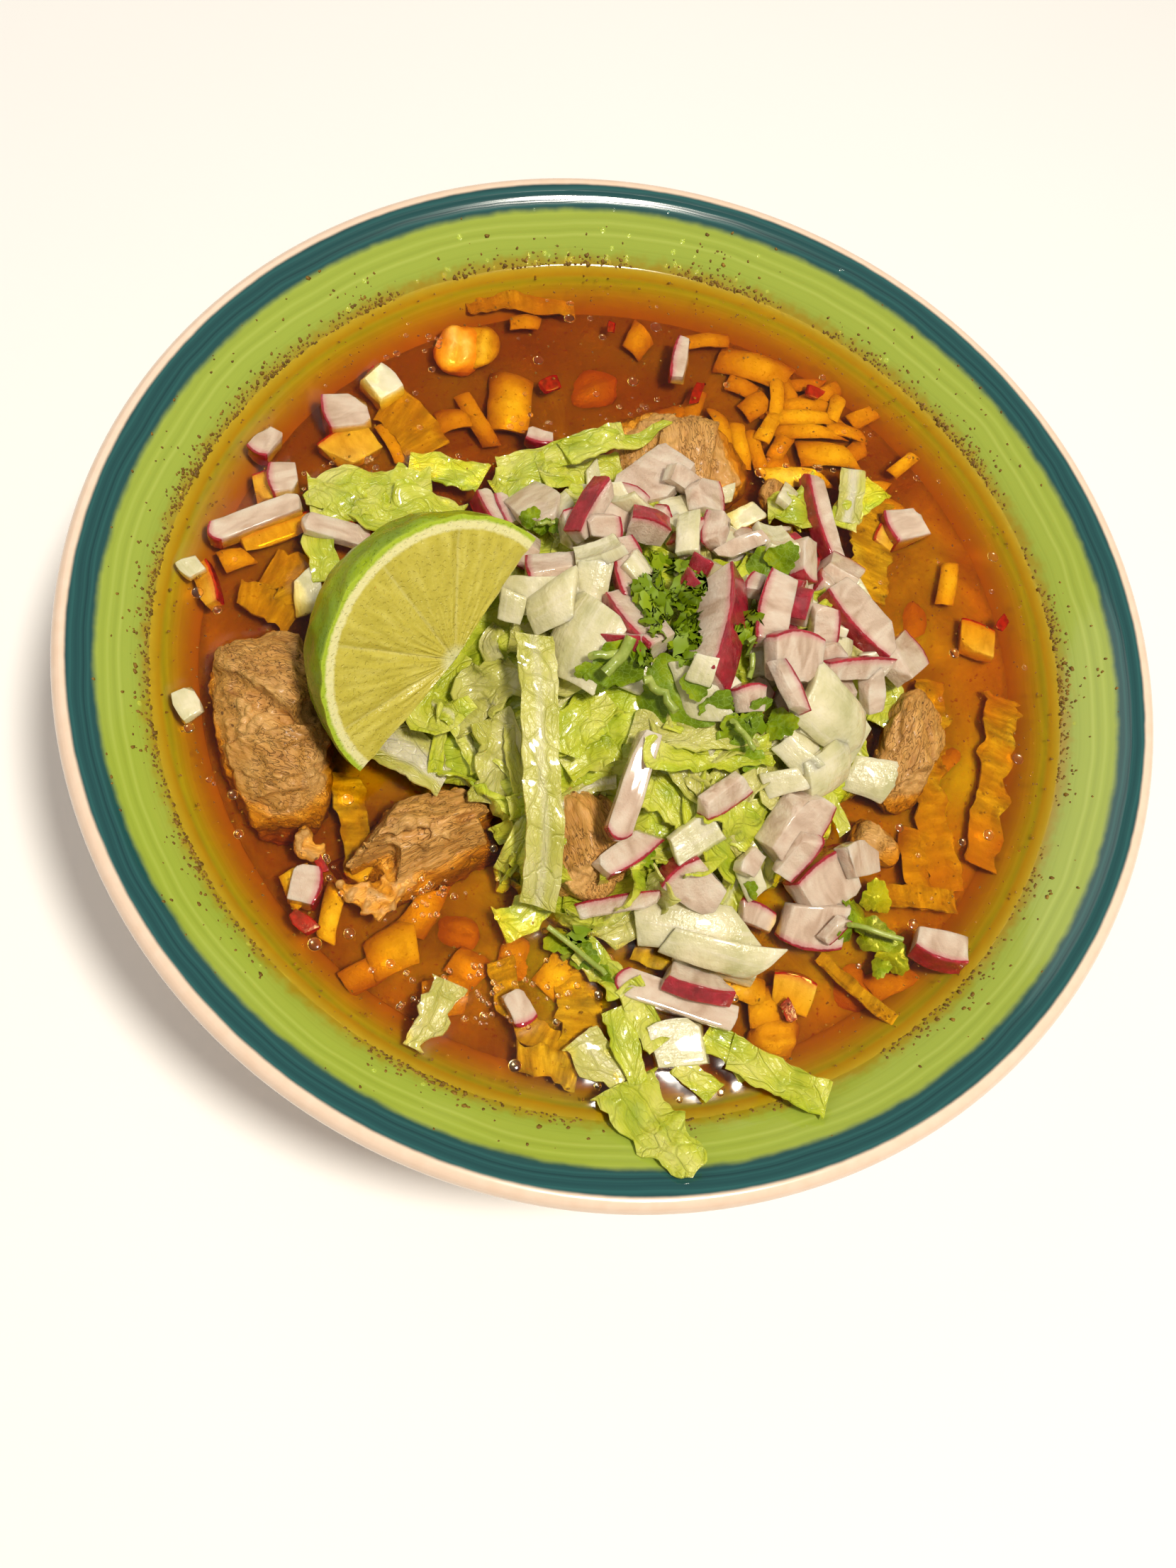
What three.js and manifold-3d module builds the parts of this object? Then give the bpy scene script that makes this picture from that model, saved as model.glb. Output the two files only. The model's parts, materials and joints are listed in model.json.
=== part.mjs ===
// A bowl of red pozole: a glazed bowl, clear red broth, pork, a heap of salad and a lime wedge.
// Millimetres, +Z up. The origin is the middle of the foot, on the table.
import * as THREE from "three";
import { mergeVertices } from "three/addons/utils/BufferGeometryUtils.js";
import Module from "manifold-3d";

const wasm = await Module();
wasm.setup();

// Driving sizes of the bowl.
const rimRadius = 100;
const bowlHeight = 65;
const lipRadius = 2.2;
const brothRadius = 84.9;
const brothLevel = 55.4;
const innerFloor = 9;
const floorThickness = 5.6;
const lipThickness = 4.6;
const footRadius = 39;
const footRidge = 5;
const turns = 46; // facets round the bowl

// Room left between two neighbours, and how far a topping presses into the salad.
const gap = 0.3;
const pressed = 1.2;

// The salad heap: an uneven mound that is partly sunk in the broth.
const heap = { x: 3, y: -9, reachX: 51, reachY: 45, rise: 19, sunk: 20 };

// The lime wedge: a cross cut face and two cuts that meet at its core. Heights are above the broth.
const lime = {
  core: [-32.8, -10, 15],
  face: [0.42, -0.62, 0.66], // the way the cross cut looks
  bulge: [-0.68, 0.26, 0.68], // from the core to the middle of the peel's arc
  radius: 24.6,
  depth: 25.5,
  sector: 172,
};

// Chunks of pork: middle, with its height above the broth, [length, width, height], turn about Z in
// degrees, and a seed for the lumps.
const porkChunks = {
  pork_left: { at: [-63, -19, -3.4], size: [42, 19, 21], turn: 102, seed: 1.3 },
  pork_front: { at: [-37.5, -38.5, -1.9], size: [29, 18, 17], turn: 20, seed: 4.1 },
  pork_middle: { at: [-9.5, -38.5, 0.1], size: [22, 14, 17], turn: 92, seed: 2.2 },
  pork_right: { at: [52.8, -18.8, -2.4], size: [23, 12, 16], turn: 68, seed: 5.4 },
  pork_right_low: { at: [45.4, -36.4, -3.2], size: [10, 7, 10], turn: -35, seed: 3.7 },
  pork_back: { at: [11.5, 42, -2.4], size: [29, 19, 17], turn: -12, seed: 6.2 },
  pork_back_bit: { at: [31, 34.5, -1.9], size: [7.5, 6, 8], turn: 60, seed: 7.9 },
};

// Toppings cut with a knife that press into the heap.
const heapToppings = {
  radish_wedge_left: { at: [-2.6, -3.6], size: [16, 7.5, 6], turn: -62 },
  radish_wedge_middle: { at: [10.6, -5.5], size: [22, 8.5, 7], turn: 76 },
  radish_edge_right: { at: [51, -2.5], size: [11, 8, 5], turn: 38 },
  radish_block_front: { at: [26.3, -36.5], size: [14, 8, 6], turn: 60 },
  radish_slab_front: { at: [34.8, -44], size: [15, 9, 4.5], turn: 32 },
  radish_die_front: { at: [8.8, -46.5], size: [11, 8, 4.5], turn: -48 },
  radish_die_left: { at: [-16, 6.2], size: [9, 7, 5], turn: 10 },
  radish_die_back: { at: [-5, 8.8], size: [8, 7.5, 5], turn: 12 },
  radish_arc_back: { at: [-7, 18.2], size: [15, 6.5, 5], turn: 14 },
  onion_plate_left: { at: [-11.5, -8], size: [9, 9, 3], turn: -75 },
  onion_plate_right: { at: [34, -18], size: [15, 10, 3], turn: -20 },
  radish_stick_middle: { at: [-3.2, -31.8], size: [18.5, 4.4, 4], turn: 74 },
};

// Toppings that lie in the broth, with the height that stands out of it.
const brothToppings = {
  radish_float_back_left: { at: [-53, 47], size: [8.5, 7.5, 8], turn: 15, out: 1.4 },
  radish_float_left_tip: { at: [-67.4, 39.2], size: [6.8, 4.2, 5], turn: 60, out: 1.4 },
  radish_float_left: { at: [-64, 31.8], size: [6.8, 5.4, 7], turn: 100, out: 1.2 },
  radish_stick_left: { at: [-68.5, 23.2], size: [17.5, 4.2, 5], turn: 27, out: 1.3 },
  onion_float_left_low: { at: [-78.2, -13.8], size: [6, 4, 3], turn: 118, out: 1.2 },
  onion_float_left_high: { at: [-79.4, 12.6], size: [4.4, 3.6, 2.2], turn: 130, out: 0.9 },
  onion_float_back_left: { at: [-46.2, 53.6], size: [8.5, 6, 6], turn: -50, out: 0.8 },
  radish_float_low_left: { at: [-56.8, -45.6], size: [7, 5, 7], turn: 80, out: 1.4 },
  radish_stick_back: { at: [13, 64.2], size: [10.5, 3.4, 3], turn: 78, out: 1.2 },
  radish_float_back: { at: [-15.8, 44.5], size: [5.5, 4, 4], turn: -8, out: 1.2 },
  radish_float_right: { at: [58, 29.6], size: [9, 7, 8], turn: 20, out: 1.6 },
  radish_float_front_right: { at: [54.8, -55.6], size: [10, 7.5, 4.5], turn: -18, out: 3 },
  radish_stick_front: { at: [6.3, -65.4], size: [22, 5, 5], turn: -20, out: 3 },
  onion_die_front: { at: [6.4, -72.6], size: [10.5, 7.5, 6], turn: 4, out: 2.2 },
  onion_plate_front: { at: [13, -57.8], size: [17, 6, 4], turn: -17, out: 3 },
  radish_sliver_front: { at: [-20.8, -66.4], size: [6, 4, 4], turn: -65, out: 1.2 },
  hominy_float_back_left: { at: [-32, 65], size: [12, 9, 6], turn: 78, out: 1.2 },
};

// Strips and leaves of lettuce: the line that each follows, with heights above the broth.
const lettuce = {
  lettuce_long_strip: {
    line: [[-20, -7, 19.6], [-19, -16, 18.2], [-18.6, -28.3, 15.8], [-17.4, -40, 11.4], [-18, -50, 4.4]],
    width: 6.2,
    ruffle: 0.3,
  },
  lettuce_rim_leaf: {
    line: [[-3.5, -81, 1], [-0.6, -85.2, 3.8], [2.8, -89.4, 7.4], [6, -92.6, 10]],
    width: 9,
    taper: 0.45,
    ruffle: 0.4,
  },
  lettuce_curl: {
    line: [[16.5, -75, 0.9], [20.5, -77.4, 1.4], [25, -80, 2.8], [29.4, -82.8, 5.4]],
    width: 5.5,
    ruffle: 0.4,
  },
  lettuce_front_leaf: {
    line: [[-4.4, -67.6, 0.9], [-3.2, -73, 1.3], [-1, -78.4, 0.9]],
    width: 3.8,
    taper: 0.5,
    ruffle: 0.3,
  },
  lettuce_back_left: {
    line: [[-58.5, 27.4, 0.9], [-51, 28.6, 1.8], [-44, 29, 1.8], [-36.5, 30, 0.9]],
    width: 8.5,
    ruffle: 0.5,
  },
  lettuce_left_flap: {
    line: [[-57.2, 20.8, 1], [-56.4, 16, 1.6], [-54.6, 11.6, 1]],
    width: 4,
    ruffle: 0.3,
  },
  lettuce_back: {
    line: [[-24, 35.4, 1], [-14, 38.6, 2.6], [-5, 41.4, 5], [-0.6, 43.2, 6]],
    width: 5,
    taper: 0.5,
    ruffle: 0.4,
  },
};

const finishes = {
  glaze: { color: 0xa9bd55, roughness: 0.15 },
  broth: { color: 0xa85a0a, roughness: 0.06, transparent: true, opacity: 0.75 },
  salad: { color: 0xc3d07a, roughness: 0.6 },
  limePeel: { color: 0x86a512, roughness: 0.4 },
  pork: { color: 0xae7442, roughness: 0.6 },
  lettuce: { color: 0xb9cf6a, roughness: 0.5 },
  radish: { color: 0xe9cfc8, roughness: 0.45 },
  onion: { color: 0xdcdcb8, roughness: 0.35 },
  hominy: { color: 0xe8a23c, roughness: 0.5 },
};

// ---- solids: joining and cutting ----

function solidOf(geometry) {
  const bare = geometry.clone();
  bare.deleteAttribute("normal");
  bare.deleteAttribute("uv");
  const merged = mergeVertices(bare, 1e-4);
  const mesh = new wasm.Mesh({
    numProp: 3,
    vertProperties: new Float32Array(merged.attributes.position.array),
    triVerts: new Uint32Array(merged.index.array),
  });
  return new wasm.Manifold(mesh);
}

function geometryOf(solid) {
  const mesh = solid.getMesh();
  const geometry = new THREE.BufferGeometry();
  geometry.setAttribute("position", new THREE.BufferAttribute(new Float32Array(mesh.vertProperties), 3));
  geometry.setIndex(new THREE.BufferAttribute(new Uint32Array(mesh.triVerts), 1));
  geometry.computeVertexNormals();
  return geometry;
}

// Moves every vertex of a geometry by a rule, and leaves its faces as they are.
function reshape(geometry, rule) {
  const place = geometry.attributes.position;
  const point = new THREE.Vector3();
  for (let i = 0; i < place.count; i += 1) {
    point.fromBufferAttribute(place, i);
    rule(point);
    place.setXYZ(i, point.x, point.y, point.z);
  }
  return geometry;
}

// ---- bowl and broth ----

// The inner wall as radius and height: a shallow floor, a steep side and a flared top.
const innerWall = new THREE.SplineCurve([
  new THREE.Vector2(0, innerFloor),
  new THREE.Vector2(22, innerFloor + 0.9),
  new THREE.Vector2(45, innerFloor + 8.5),
  new THREE.Vector2(60, innerFloor + 19.5),
  new THREE.Vector2(75, innerFloor + 34.8),
  new THREE.Vector2(brothRadius, brothLevel),
  new THREE.Vector2(93.5, bowlHeight - 2),
  new THREE.Vector2(rimRadius - 2 * lipRadius + 0.6, bowlHeight - 0.5),
]);

function bowlGeometry() {
  const recess = innerFloor - floorThickness;
  const profile = [
    new THREE.Vector2(0, recess),
    new THREE.Vector2(footRadius - footRidge - 1, recess),
    new THREE.Vector2(footRadius - footRidge, 0),
    new THREE.Vector2(footRadius, 0),
  ];
  const wallSteps = 10;
  for (let i = 1; i < wallSteps; i += 1) {
    const share = i / wallSteps;
    const thickness = THREE.MathUtils.lerp(floorThickness, lipThickness, share);
    const along = innerWall.getTangent(share);
    const inner = innerWall.getPoint(share);
    const outer = new THREE.Vector2(inner.x + along.y * thickness, inner.y - along.x * thickness);
    if (outer.x > footRadius + 1) profile.push(outer);
  }
  const lipSteps = 4;
  for (let i = 0; i <= lipSteps; i += 1) {
    const angle = THREE.MathUtils.lerp(-0.15, 0.6, i / lipSteps) * Math.PI;
    const radius = rimRadius - lipRadius + lipRadius * Math.cos(angle);
    const height = bowlHeight - lipRadius + lipRadius * Math.sin(angle);
    profile.push(new THREE.Vector2(radius, height));
  }
  profile.push(...innerWall.getPoints(12).reverse());
  profile[profile.length - 1].x = 0;
  return new THREE.LatheGeometry(profile, turns).rotateX(Math.PI / 2);
}

function brothGeometry() {
  const wall = innerWall.getPoints(40).filter((point) => point.y < brothLevel - 1);
  const profile = wall.filter((point, i) => i % 4 === 0);
  const wet = profile.map((point) => new THREE.Vector2(Math.max(0, point.x - gap), point.y + gap));
  wet[0].x = 0;
  wet.push(new THREE.Vector2(brothRadius - 2 * gap, brothLevel));
  wet.push(new THREE.Vector2(0, brothLevel));
  return new THREE.LatheGeometry(wet, turns).rotateX(Math.PI / 2);
}

// ---- salad heap ----

function heapReach(angle) {
  return 1 + 0.05 * Math.sin(3 * angle + 0.6) + 0.035 * Math.sin(7 * angle + 2) + 0.02 * Math.sin(13 * angle);
}

function heapLumps(x, y) {
  return 0.9 * Math.sin(0.31 * x + 0.6) * Math.cos(0.27 * y) + 0.5 * Math.sin(0.7 * x - 0.5 * y);
}

// Height of the heap above the broth at a place.
function heapRise(x, y) {
  const across = (x - heap.x) / heap.reachX;
  const along = (y - heap.y) / heap.reachY;
  const reached = Math.hypot(across, along) / heapReach(Math.atan2(along, across));
  const inside = Math.min(1, reached);
  return heap.rise * (1 - inside ** 2.2) + heapLumps(x, y) * (1 - inside);
}

function heapGeometry(grow = 0) {
  const profile = [];
  const steps = 6;
  for (let i = 0; i <= steps; i += 1) {
    profile.push(new THREE.Vector2(Math.sin((i / steps) * Math.PI / 2), -Math.cos((i / steps) * Math.PI / 2)));
  }
  for (let i = 1; i <= steps; i += 1) {
    profile.push(new THREE.Vector2(1 - i / steps, i / steps));
  }
  profile[0].x = 0;
  const mound = new THREE.LatheGeometry(profile, 32).rotateX(Math.PI / 2);
  return reshape(mound, (point) => {
    const reach = heapReach(Math.atan2(point.y, point.x));
    point.x = heap.x + (heap.reachX * reach + grow) * point.x;
    point.y = heap.y + (heap.reachY * reach + grow) * point.y;
    const above = point.z > 0 ? heapRise(point.x, point.y) + grow : (heap.sunk + grow) * point.z;
    point.z = brothLevel + above;
  });
}

// ---- pork ----

// A lump of meat: a squared-off ball with ridges along its grain and dents across it.
function porkGeometry({ at, size, turn, seed }, grow = 0) {
  const block = 2.7;
  const lump = new THREE.IcosahedronGeometry(1, 2);
  reshape(lump, (point) => {
    point.normalize();
    const square = Math.abs(point.x) ** block + Math.abs(point.y) ** block + Math.abs(point.z) ** block;
    const dents =
      1 +
      0.07 * Math.sin(3.1 * point.x + seed) +
      0.06 * Math.sin(4.3 * point.y + 2.1 * point.x + 2 * seed) +
      0.05 * Math.sin(6.2 * point.z + 3.3 * point.x + 3 * seed);
    point.multiplyScalar(dents / square ** (1 / block));
    point.x *= size[0] / 2 + grow;
    point.y *= size[1] / 2 + grow;
    point.z *= size[2] / 2 + grow;
  });
  return lump.rotateZ(THREE.MathUtils.degToRad(turn)).translate(at[0], at[1], brothLevel + at[2]);
}

// ---- toppings cut with a knife ----

// A slab with two straight sides, a slanted end and one bowed side, where the skin was.
function cutGeometry(size, grow = 0) {
  const [length, width, height] = size;
  const bow = 0.22 * width;
  const outline = new THREE.Shape();
  outline.moveTo(-length / 2, -width / 2);
  outline.lineTo(length / 2 - 0.08 * length, -width / 2);
  outline.lineTo(length / 2, width / 2 - bow);
  outline.quadraticCurveTo(0, width / 2 + bow, -length / 2 + 0.06 * length, width / 2 - bow);
  const slab = new THREE.ExtrudeGeometry(outline, { depth: height, bevelEnabled: false, curveSegments: 5 });
  slab.translate(0, 0, -height / 2);
  return slab.scale(1 + (2 * grow) / length, 1 + (2 * grow) / width, 1 + (2 * grow) / height);
}

// Lies on the heap's slope, pressed into it a little.
function heapToppingGeometry({ at, size, turn }, grow = 0) {
  const [x, y] = at;
  const step = 3;
  const slopeX = (heapRise(x + step, y) - heapRise(x - step, y)) / (2 * step);
  const slopeY = (heapRise(x, y + step) - heapRise(x, y - step)) / (2 * step);
  const up = new THREE.Vector3(0, 0, 1);
  const lean = new THREE.Quaternion().setFromUnitVectors(up, new THREE.Vector3(-slopeX, -slopeY, 1).normalize());
  const height = brothLevel + heapRise(x, y) + size[2] / 2 - pressed;
  const slab = cutGeometry(size, grow).rotateZ(THREE.MathUtils.degToRad(turn));
  return slab.applyQuaternion(lean).translate(x, y, height);
}

function brothToppingGeometry({ at, size, turn, out }, grow = 0) {
  const slab = cutGeometry(size, grow).rotateZ(THREE.MathUtils.degToRad(turn));
  return slab.translate(at[0], at[1], brothLevel + out - size[2] / 2);
}

// ---- lettuce ----

// A point on a line, carried straight on past its ends.
function pointAlong(curve, share) {
  const inside = THREE.MathUtils.clamp(share, 0, 1);
  const beyond = (share - inside) * curve.getLength();
  return curve.getPoint(inside).addScaledVector(curve.getTangent(inside), beyond);
}

// A thin strip that follows its line, tapered towards its end and ruffled along its edges.
function lettuceGeometry({ line, width, taper = 1, ruffle }, grow = 0) {
  const thickness = 1;
  const waves = 2.5;
  const points = line.map(([x, y, above]) => new THREE.Vector3(x, y, brothLevel + above));
  const curve = new THREE.CatmullRomCurve3(points);
  const spare = grow / curve.getLength();
  const sheet = new THREE.BoxGeometry(1, 1, 1, 3 * line.length, 2, 1);
  return reshape(sheet, (point) => {
    const share = point.x * (1 + 2 * spare) + 0.5;
    const inside = THREE.MathUtils.clamp(share, 0, 1);
    const along = curve.getTangent(inside);
    const side = new THREE.Vector3(0, 0, 1).cross(along).normalize();
    const top = new THREE.Vector3().crossVectors(along, side);
    const across = point.y * (width * THREE.MathUtils.lerp(1, taper, inside) + 2 * grow);
    const edge = Math.abs(2 * point.y) * ruffle * Math.sin(2 * Math.PI * waves * inside);
    const lift = point.z * (thickness + 2 * grow) + edge;
    point.copy(pointAlong(curve, share)).addScaledVector(side, across).addScaledVector(top, lift);
  });
}

// ---- lime ----

// Half a lime, cut across, with only the sector between two cuts left of it.
function limeSolid(grow = 0) {
  const radius = lime.radius + grow;
  const ball = new THREE.SphereGeometry(1, 28, 20).scale(radius, radius, lime.depth + grow);
  const room = 4 * radius;
  const halfBox = () => new THREE.BoxGeometry(room, room, room);
  const below = halfBox().translate(0, 0, grow - room / 2);
  let wedge = solidOf(ball).intersect(solidOf(below));
  const halfAngle = THREE.MathUtils.degToRad(lime.sector / 2);
  for (const side of [-1, 1]) {
    const cut = halfBox().translate(0, -side * (room / 2 - grow), 0).rotateZ(side * halfAngle);
    wedge = wedge.intersect(solidOf(cut));
  }
  const face = new THREE.Vector3(...lime.face).normalize();
  const bulge = new THREE.Vector3(...lime.bulge).projectOnPlane(face).normalize();
  const across = new THREE.Vector3().crossVectors(face, bulge);
  const [x, y, z] = lime.core;
  const placed = new THREE.Matrix4().makeBasis(bulge, across, face).setPosition(x, y, brothLevel + z);
  return solidOf(geometryOf(wedge).applyMatrix4(placed));
}

// ---- the whole ----

const pozole = new THREE.Group();

function add(name, solid, finish) {
  const mesh = new THREE.Mesh(geometryOf(solid), new THREE.MeshStandardMaterial(finishes[finish]));
  mesh.name = name;
  pozole.add(mesh);
}

// Every piece of food, by the function that makes it, so that the heap and the broth are cut round it.
const pieces = [{ name: "lime_wedge", finish: "limePeel", make: limeSolid }];

function addPieces(table, make, finishFor) {
  for (const [name, sizes] of Object.entries(table)) {
    pieces.push({ name, finish: finishFor(name), make: (grow) => solidOf(make(sizes, grow)) });
  }
}

const finishByFirstWord = (name) => name.split("_")[0];
addPieces(porkChunks, porkGeometry, finishByFirstWord);
addPieces(heapToppings, heapToppingGeometry, finishByFirstWord);
addPieces(brothToppings, brothToppingGeometry, finishByFirstWord);
addPieces(lettuce, lettuceGeometry, finishByFirstWord);

let saladHeap = solidOf(heapGeometry());
let broth = solidOf(brothGeometry()).subtract(solidOf(heapGeometry(gap)));
for (const piece of pieces) {
  const room = piece.make(gap);
  saladHeap = saladHeap.subtract(room);
  broth = broth.subtract(room);
  add(piece.name, piece.make(0), piece.finish);
}
add("bowl", solidOf(bowlGeometry()), "glaze");
add("salad_heap", saladHeap, "salad");
add("broth", broth, "broth");

export default pozole;
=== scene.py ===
# A bowl of red pozole with its toppings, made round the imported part.
import json
import random
from contextlib import contextmanager
from math import atan2, cos, exp, floor, hypot, pi, radians, sin, sqrt

import bpy
import numpy as np
from mathutils import Matrix, Vector, noise
from mathutils.bvhtree import BVHTree

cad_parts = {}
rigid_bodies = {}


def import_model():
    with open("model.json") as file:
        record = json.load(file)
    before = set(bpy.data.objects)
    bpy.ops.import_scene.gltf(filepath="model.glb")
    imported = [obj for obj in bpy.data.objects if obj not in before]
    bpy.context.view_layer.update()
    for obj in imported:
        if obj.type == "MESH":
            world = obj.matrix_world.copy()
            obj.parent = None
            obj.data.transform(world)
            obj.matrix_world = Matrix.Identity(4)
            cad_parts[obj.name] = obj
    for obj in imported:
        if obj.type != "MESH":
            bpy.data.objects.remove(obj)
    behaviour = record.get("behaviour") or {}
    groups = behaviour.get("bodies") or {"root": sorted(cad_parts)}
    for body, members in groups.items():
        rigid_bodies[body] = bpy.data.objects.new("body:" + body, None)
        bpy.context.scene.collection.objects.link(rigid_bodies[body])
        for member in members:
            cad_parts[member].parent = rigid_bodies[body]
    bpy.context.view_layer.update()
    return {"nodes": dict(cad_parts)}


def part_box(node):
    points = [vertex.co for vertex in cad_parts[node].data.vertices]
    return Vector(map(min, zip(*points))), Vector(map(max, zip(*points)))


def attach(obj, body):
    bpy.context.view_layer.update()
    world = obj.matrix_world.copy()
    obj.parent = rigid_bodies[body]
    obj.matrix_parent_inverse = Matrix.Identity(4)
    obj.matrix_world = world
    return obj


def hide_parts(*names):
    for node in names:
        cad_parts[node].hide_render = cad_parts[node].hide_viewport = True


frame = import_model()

mm = 0.001
circle = 2 * pi
random.seed(21)
uniform = random.uniform
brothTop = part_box("broth")[1].z
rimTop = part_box("bowl")[1].z
level = brothTop / mm
nodes = frame["nodes"]


# working with objects

def pickOnly(*pieces):
    if bpy.context.object and bpy.context.object.mode != "OBJECT":
        bpy.ops.object.mode_set(mode="OBJECT")
    bpy.ops.object.select_all(action="DESELECT")
    for piece in pieces:
        piece.select_set(True)
    bpy.context.view_layer.objects.active = pieces[0]


@contextmanager
def editing(piece):
    pickOnly(piece)
    bpy.ops.object.mode_set(mode="EDIT")
    bpy.ops.mesh.select_all(action="SELECT")
    yield
    bpy.ops.object.mode_set(mode="OBJECT")


def newest(name):
    piece = bpy.context.object
    piece.name = piece.data.name = name
    return piece


def modify(piece, kind, **settings):
    modifier = piece.modifiers.new(kind, kind)
    for key, value in settings.items():
        setattr(modifier, key, value)
    pickOnly(piece)
    bpy.ops.object.modifier_apply(modifier=modifier.name)


def smoothShade(piece, angle=60):
    pickOnly(piece)
    bpy.ops.object.shade_smooth_by_angle(angle=radians(angle))


def cleanMesh(piece, merge=1e-6):
    with editing(piece):
        bpy.ops.mesh.remove_doubles(threshold=merge)
        bpy.ops.mesh.normals_make_consistent(inside=False)


# Cuts off what lies beyond each plane, given as a spot on it and the way out.
def cutBeyond(piece, planes):
    with editing(piece):
        for spot, away in planes:
            bpy.ops.mesh.select_all(action="SELECT")
            bpy.ops.mesh.bisect(plane_co=spot, plane_no=away, use_fill=True, clear_outer=True)


def planeAt(away, far):
    return away * (far / away.length_squared), away


def copyOfNode(node, name):
    piece = bpy.data.objects.new(name, nodes[node].data.copy())
    piece.data.name = name
    bpy.context.scene.collection.objects.link(piece)
    with editing(piece):
        bpy.ops.mesh.remove_doubles(threshold=2e-6)
    return piece


def copyAt(master, place):
    piece = master.copy()
    piece.data = master.data.copy()
    bpy.context.scene.collection.objects.link(piece)
    piece.data.transform(place)
    return piece


def joinAs(pieces, name):
    pickOnly(*pieces)
    if len(pieces) > 1:
        bpy.ops.object.join()
    return newest(name)


def drop(piece):
    mesh = piece.data
    bpy.data.objects.remove(piece)
    bpy.data.meshes.remove(mesh)


def finish(piece, material, slot, *replaced, floats=True):
    piece.data.materials.clear()
    piece.data.materials.append(material)
    for node in replaced:
        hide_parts(node)
    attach(piece, "root")
    piece["breaksSurface"] = floats


def finishAll(pieces, name, material, slot, floats=True):
    finish(joinAs(pieces, name), material, slot, floats=floats)


# A cloud pattern pushes the surface in and out; stretch makes it long along one way.
def roughen(piece, size, strength, stretch=(1, 1, 1), turn=0):
    texture = bpy.data.textures.new("cloud", "CLOUDS")
    texture.noise_scale = 1
    bpy.ops.object.empty_add(rotation=(0, 0, radians(turn)))
    helper = bpy.context.object
    helper.scale = [size * mm * way for way in stretch]
    helper.location = [uniform(-0.2, 0.2) for way in range(3)]
    bpy.context.view_layer.update()
    modify(piece, "DISPLACE", texture=texture, texture_coords="OBJECT",
           texture_coords_object=helper, strength=strength * mm)
    bpy.data.objects.remove(helper)
    bpy.data.textures.remove(texture)


# Keeps a number or a vector for each point of the piece, for its material to read.
def keep(piece, name, values):
    values = np.asarray(values, np.float32)
    kind, field = ("FLOAT", "value") if values.ndim == 1 else ("FLOAT_VECTOR", "vector")
    piece.data.attributes.new(name, kind, "POINT").data.foreach_set(field, values.ravel())


def pointsOf(piece):
    points = np.empty(len(piece.data.vertices) * 3, np.float32)
    piece.data.vertices.foreach_get("co", points)
    return points.reshape(-1, 3)


def putPoints(piece, points):
    piece.data.vertices.foreach_set("co", np.asarray(points, np.float32).ravel())
    piece.data.update()


def turnBy(angle, axis="Z"):
    return Matrix.Rotation(angle, 4, axis)


def overBroth(x, y, height=0.0):
    return Matrix.Translation(Vector((x * mm, y * mm, brothTop + height * mm)))


def wayOf(turn, tilt=0):
    turn, tilt = radians(turn), radians(tilt)
    return Vector((cos(tilt) * cos(turn), cos(tilt) * sin(turn), sin(tilt)))


def squareTo(other, way):
    return (way - other * way.dot(other)).normalized()


def wobble(place, size=1):
    return noise.noise(Vector(place) * size)


def clip(value):
    return min(1, max(0, value))


def inDisc(middle, reach):
    angle = uniform(0, circle)
    out = sqrt(uniform(0, 1))
    return middle[0] + reach[0] * out * cos(angle), middle[1] + reach[1] * out * sin(angle)


# A smooth line through its points.
def smoothLine(points, steps):
    line = []
    last = len(points) - 1
    for i in range(steps + 1):
        place = i / steps * last
        k = min(int(place), last - 1)
        t = place - k
        p0, p1, p2, p3 = (np.array(points[min(max(k + j, 0), last)], float) for j in (-1, 0, 1, 2))
        bend = 2 * p1 + (p2 - p0) * t + (2 * p0 - 5 * p1 + 4 * p2 - p3) * t * t
        line.append(tuple(0.5 * (bend + (3 * p1 - p0 - 3 * p2 + p3) * t ** 3)))
    return line


def polyline(points):
    bpy.ops.curve.primitive_bezier_curve_add()
    line = bpy.context.object
    line.data.splines.clear()
    spline = line.data.splines.new("POLY")
    spline.points.add(len(points) - 1)
    for point, place in zip(spline.points, points):
        point.co = (*place, 1)
    pickOnly(line)
    return line


# working with materials: one is in hand at a time, and colours are given as they look, out of 255

inHand = {}


def tone(colour):
    linear = [c / 255 / 12.92 if c < 10 else ((c / 255 + 0.055) / 1.055) ** 2.4 for c in colour]
    return (*linear, 1)


# Softness is how much light goes under the surface, how far in each colour, and the scale.
def newMaterial(name, softness=(), **plain):
    material = bpy.data.materials.new(name)
    material.use_nodes = True
    tree = material.node_tree
    shader = tree.nodes["Principled BSDF"]
    inHand.update(material=material, tree=tree, shader=shader, output=tree.nodes["Material Output"])
    feed(shader, {"Subsurface " + key: value for key, value in zip(("Weight", "Radius", "Scale"), softness)})
    feed(shader, {key.replace("_", " "): value for key, value in plain.items()})


def feed(node, links):
    for socket, value in links.items():
        if hasattr(value, "is_output"):
            inHand["tree"].links.new(value, node.inputs[socket])
        else:
            node.inputs[socket].default_value = value


def addNode(kind, links={}, **settings):
    node = inHand["tree"].nodes.new("ShaderNode" + kind)
    for key, value in settings.items():
        setattr(node, key, value)
    feed(node, links)
    return node


def work(operation, a, b=0.0, c=0.0):
    return addNode("Math", {0: a, 1: b, 2: c}, operation=operation).outputs[0]


def plus(a, b):
    return work("ADD", a, b)


def minus(a, b):
    return work("SUBTRACT", a, b)


def times(a, b):
    return work("MULTIPLY", a, b)


def timesPlus(a, b, c):
    return work("MULTIPLY_ADD", a, b, c)


def highest(a, b):
    return work("MAXIMUM", a, b)


def stored(name):
    return addNode("Attribute", attribute_name=name).outputs["Fac"]


def axis(place, number):
    return addNode("SeparateXYZ", {0: place}).outputs[number]


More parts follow.
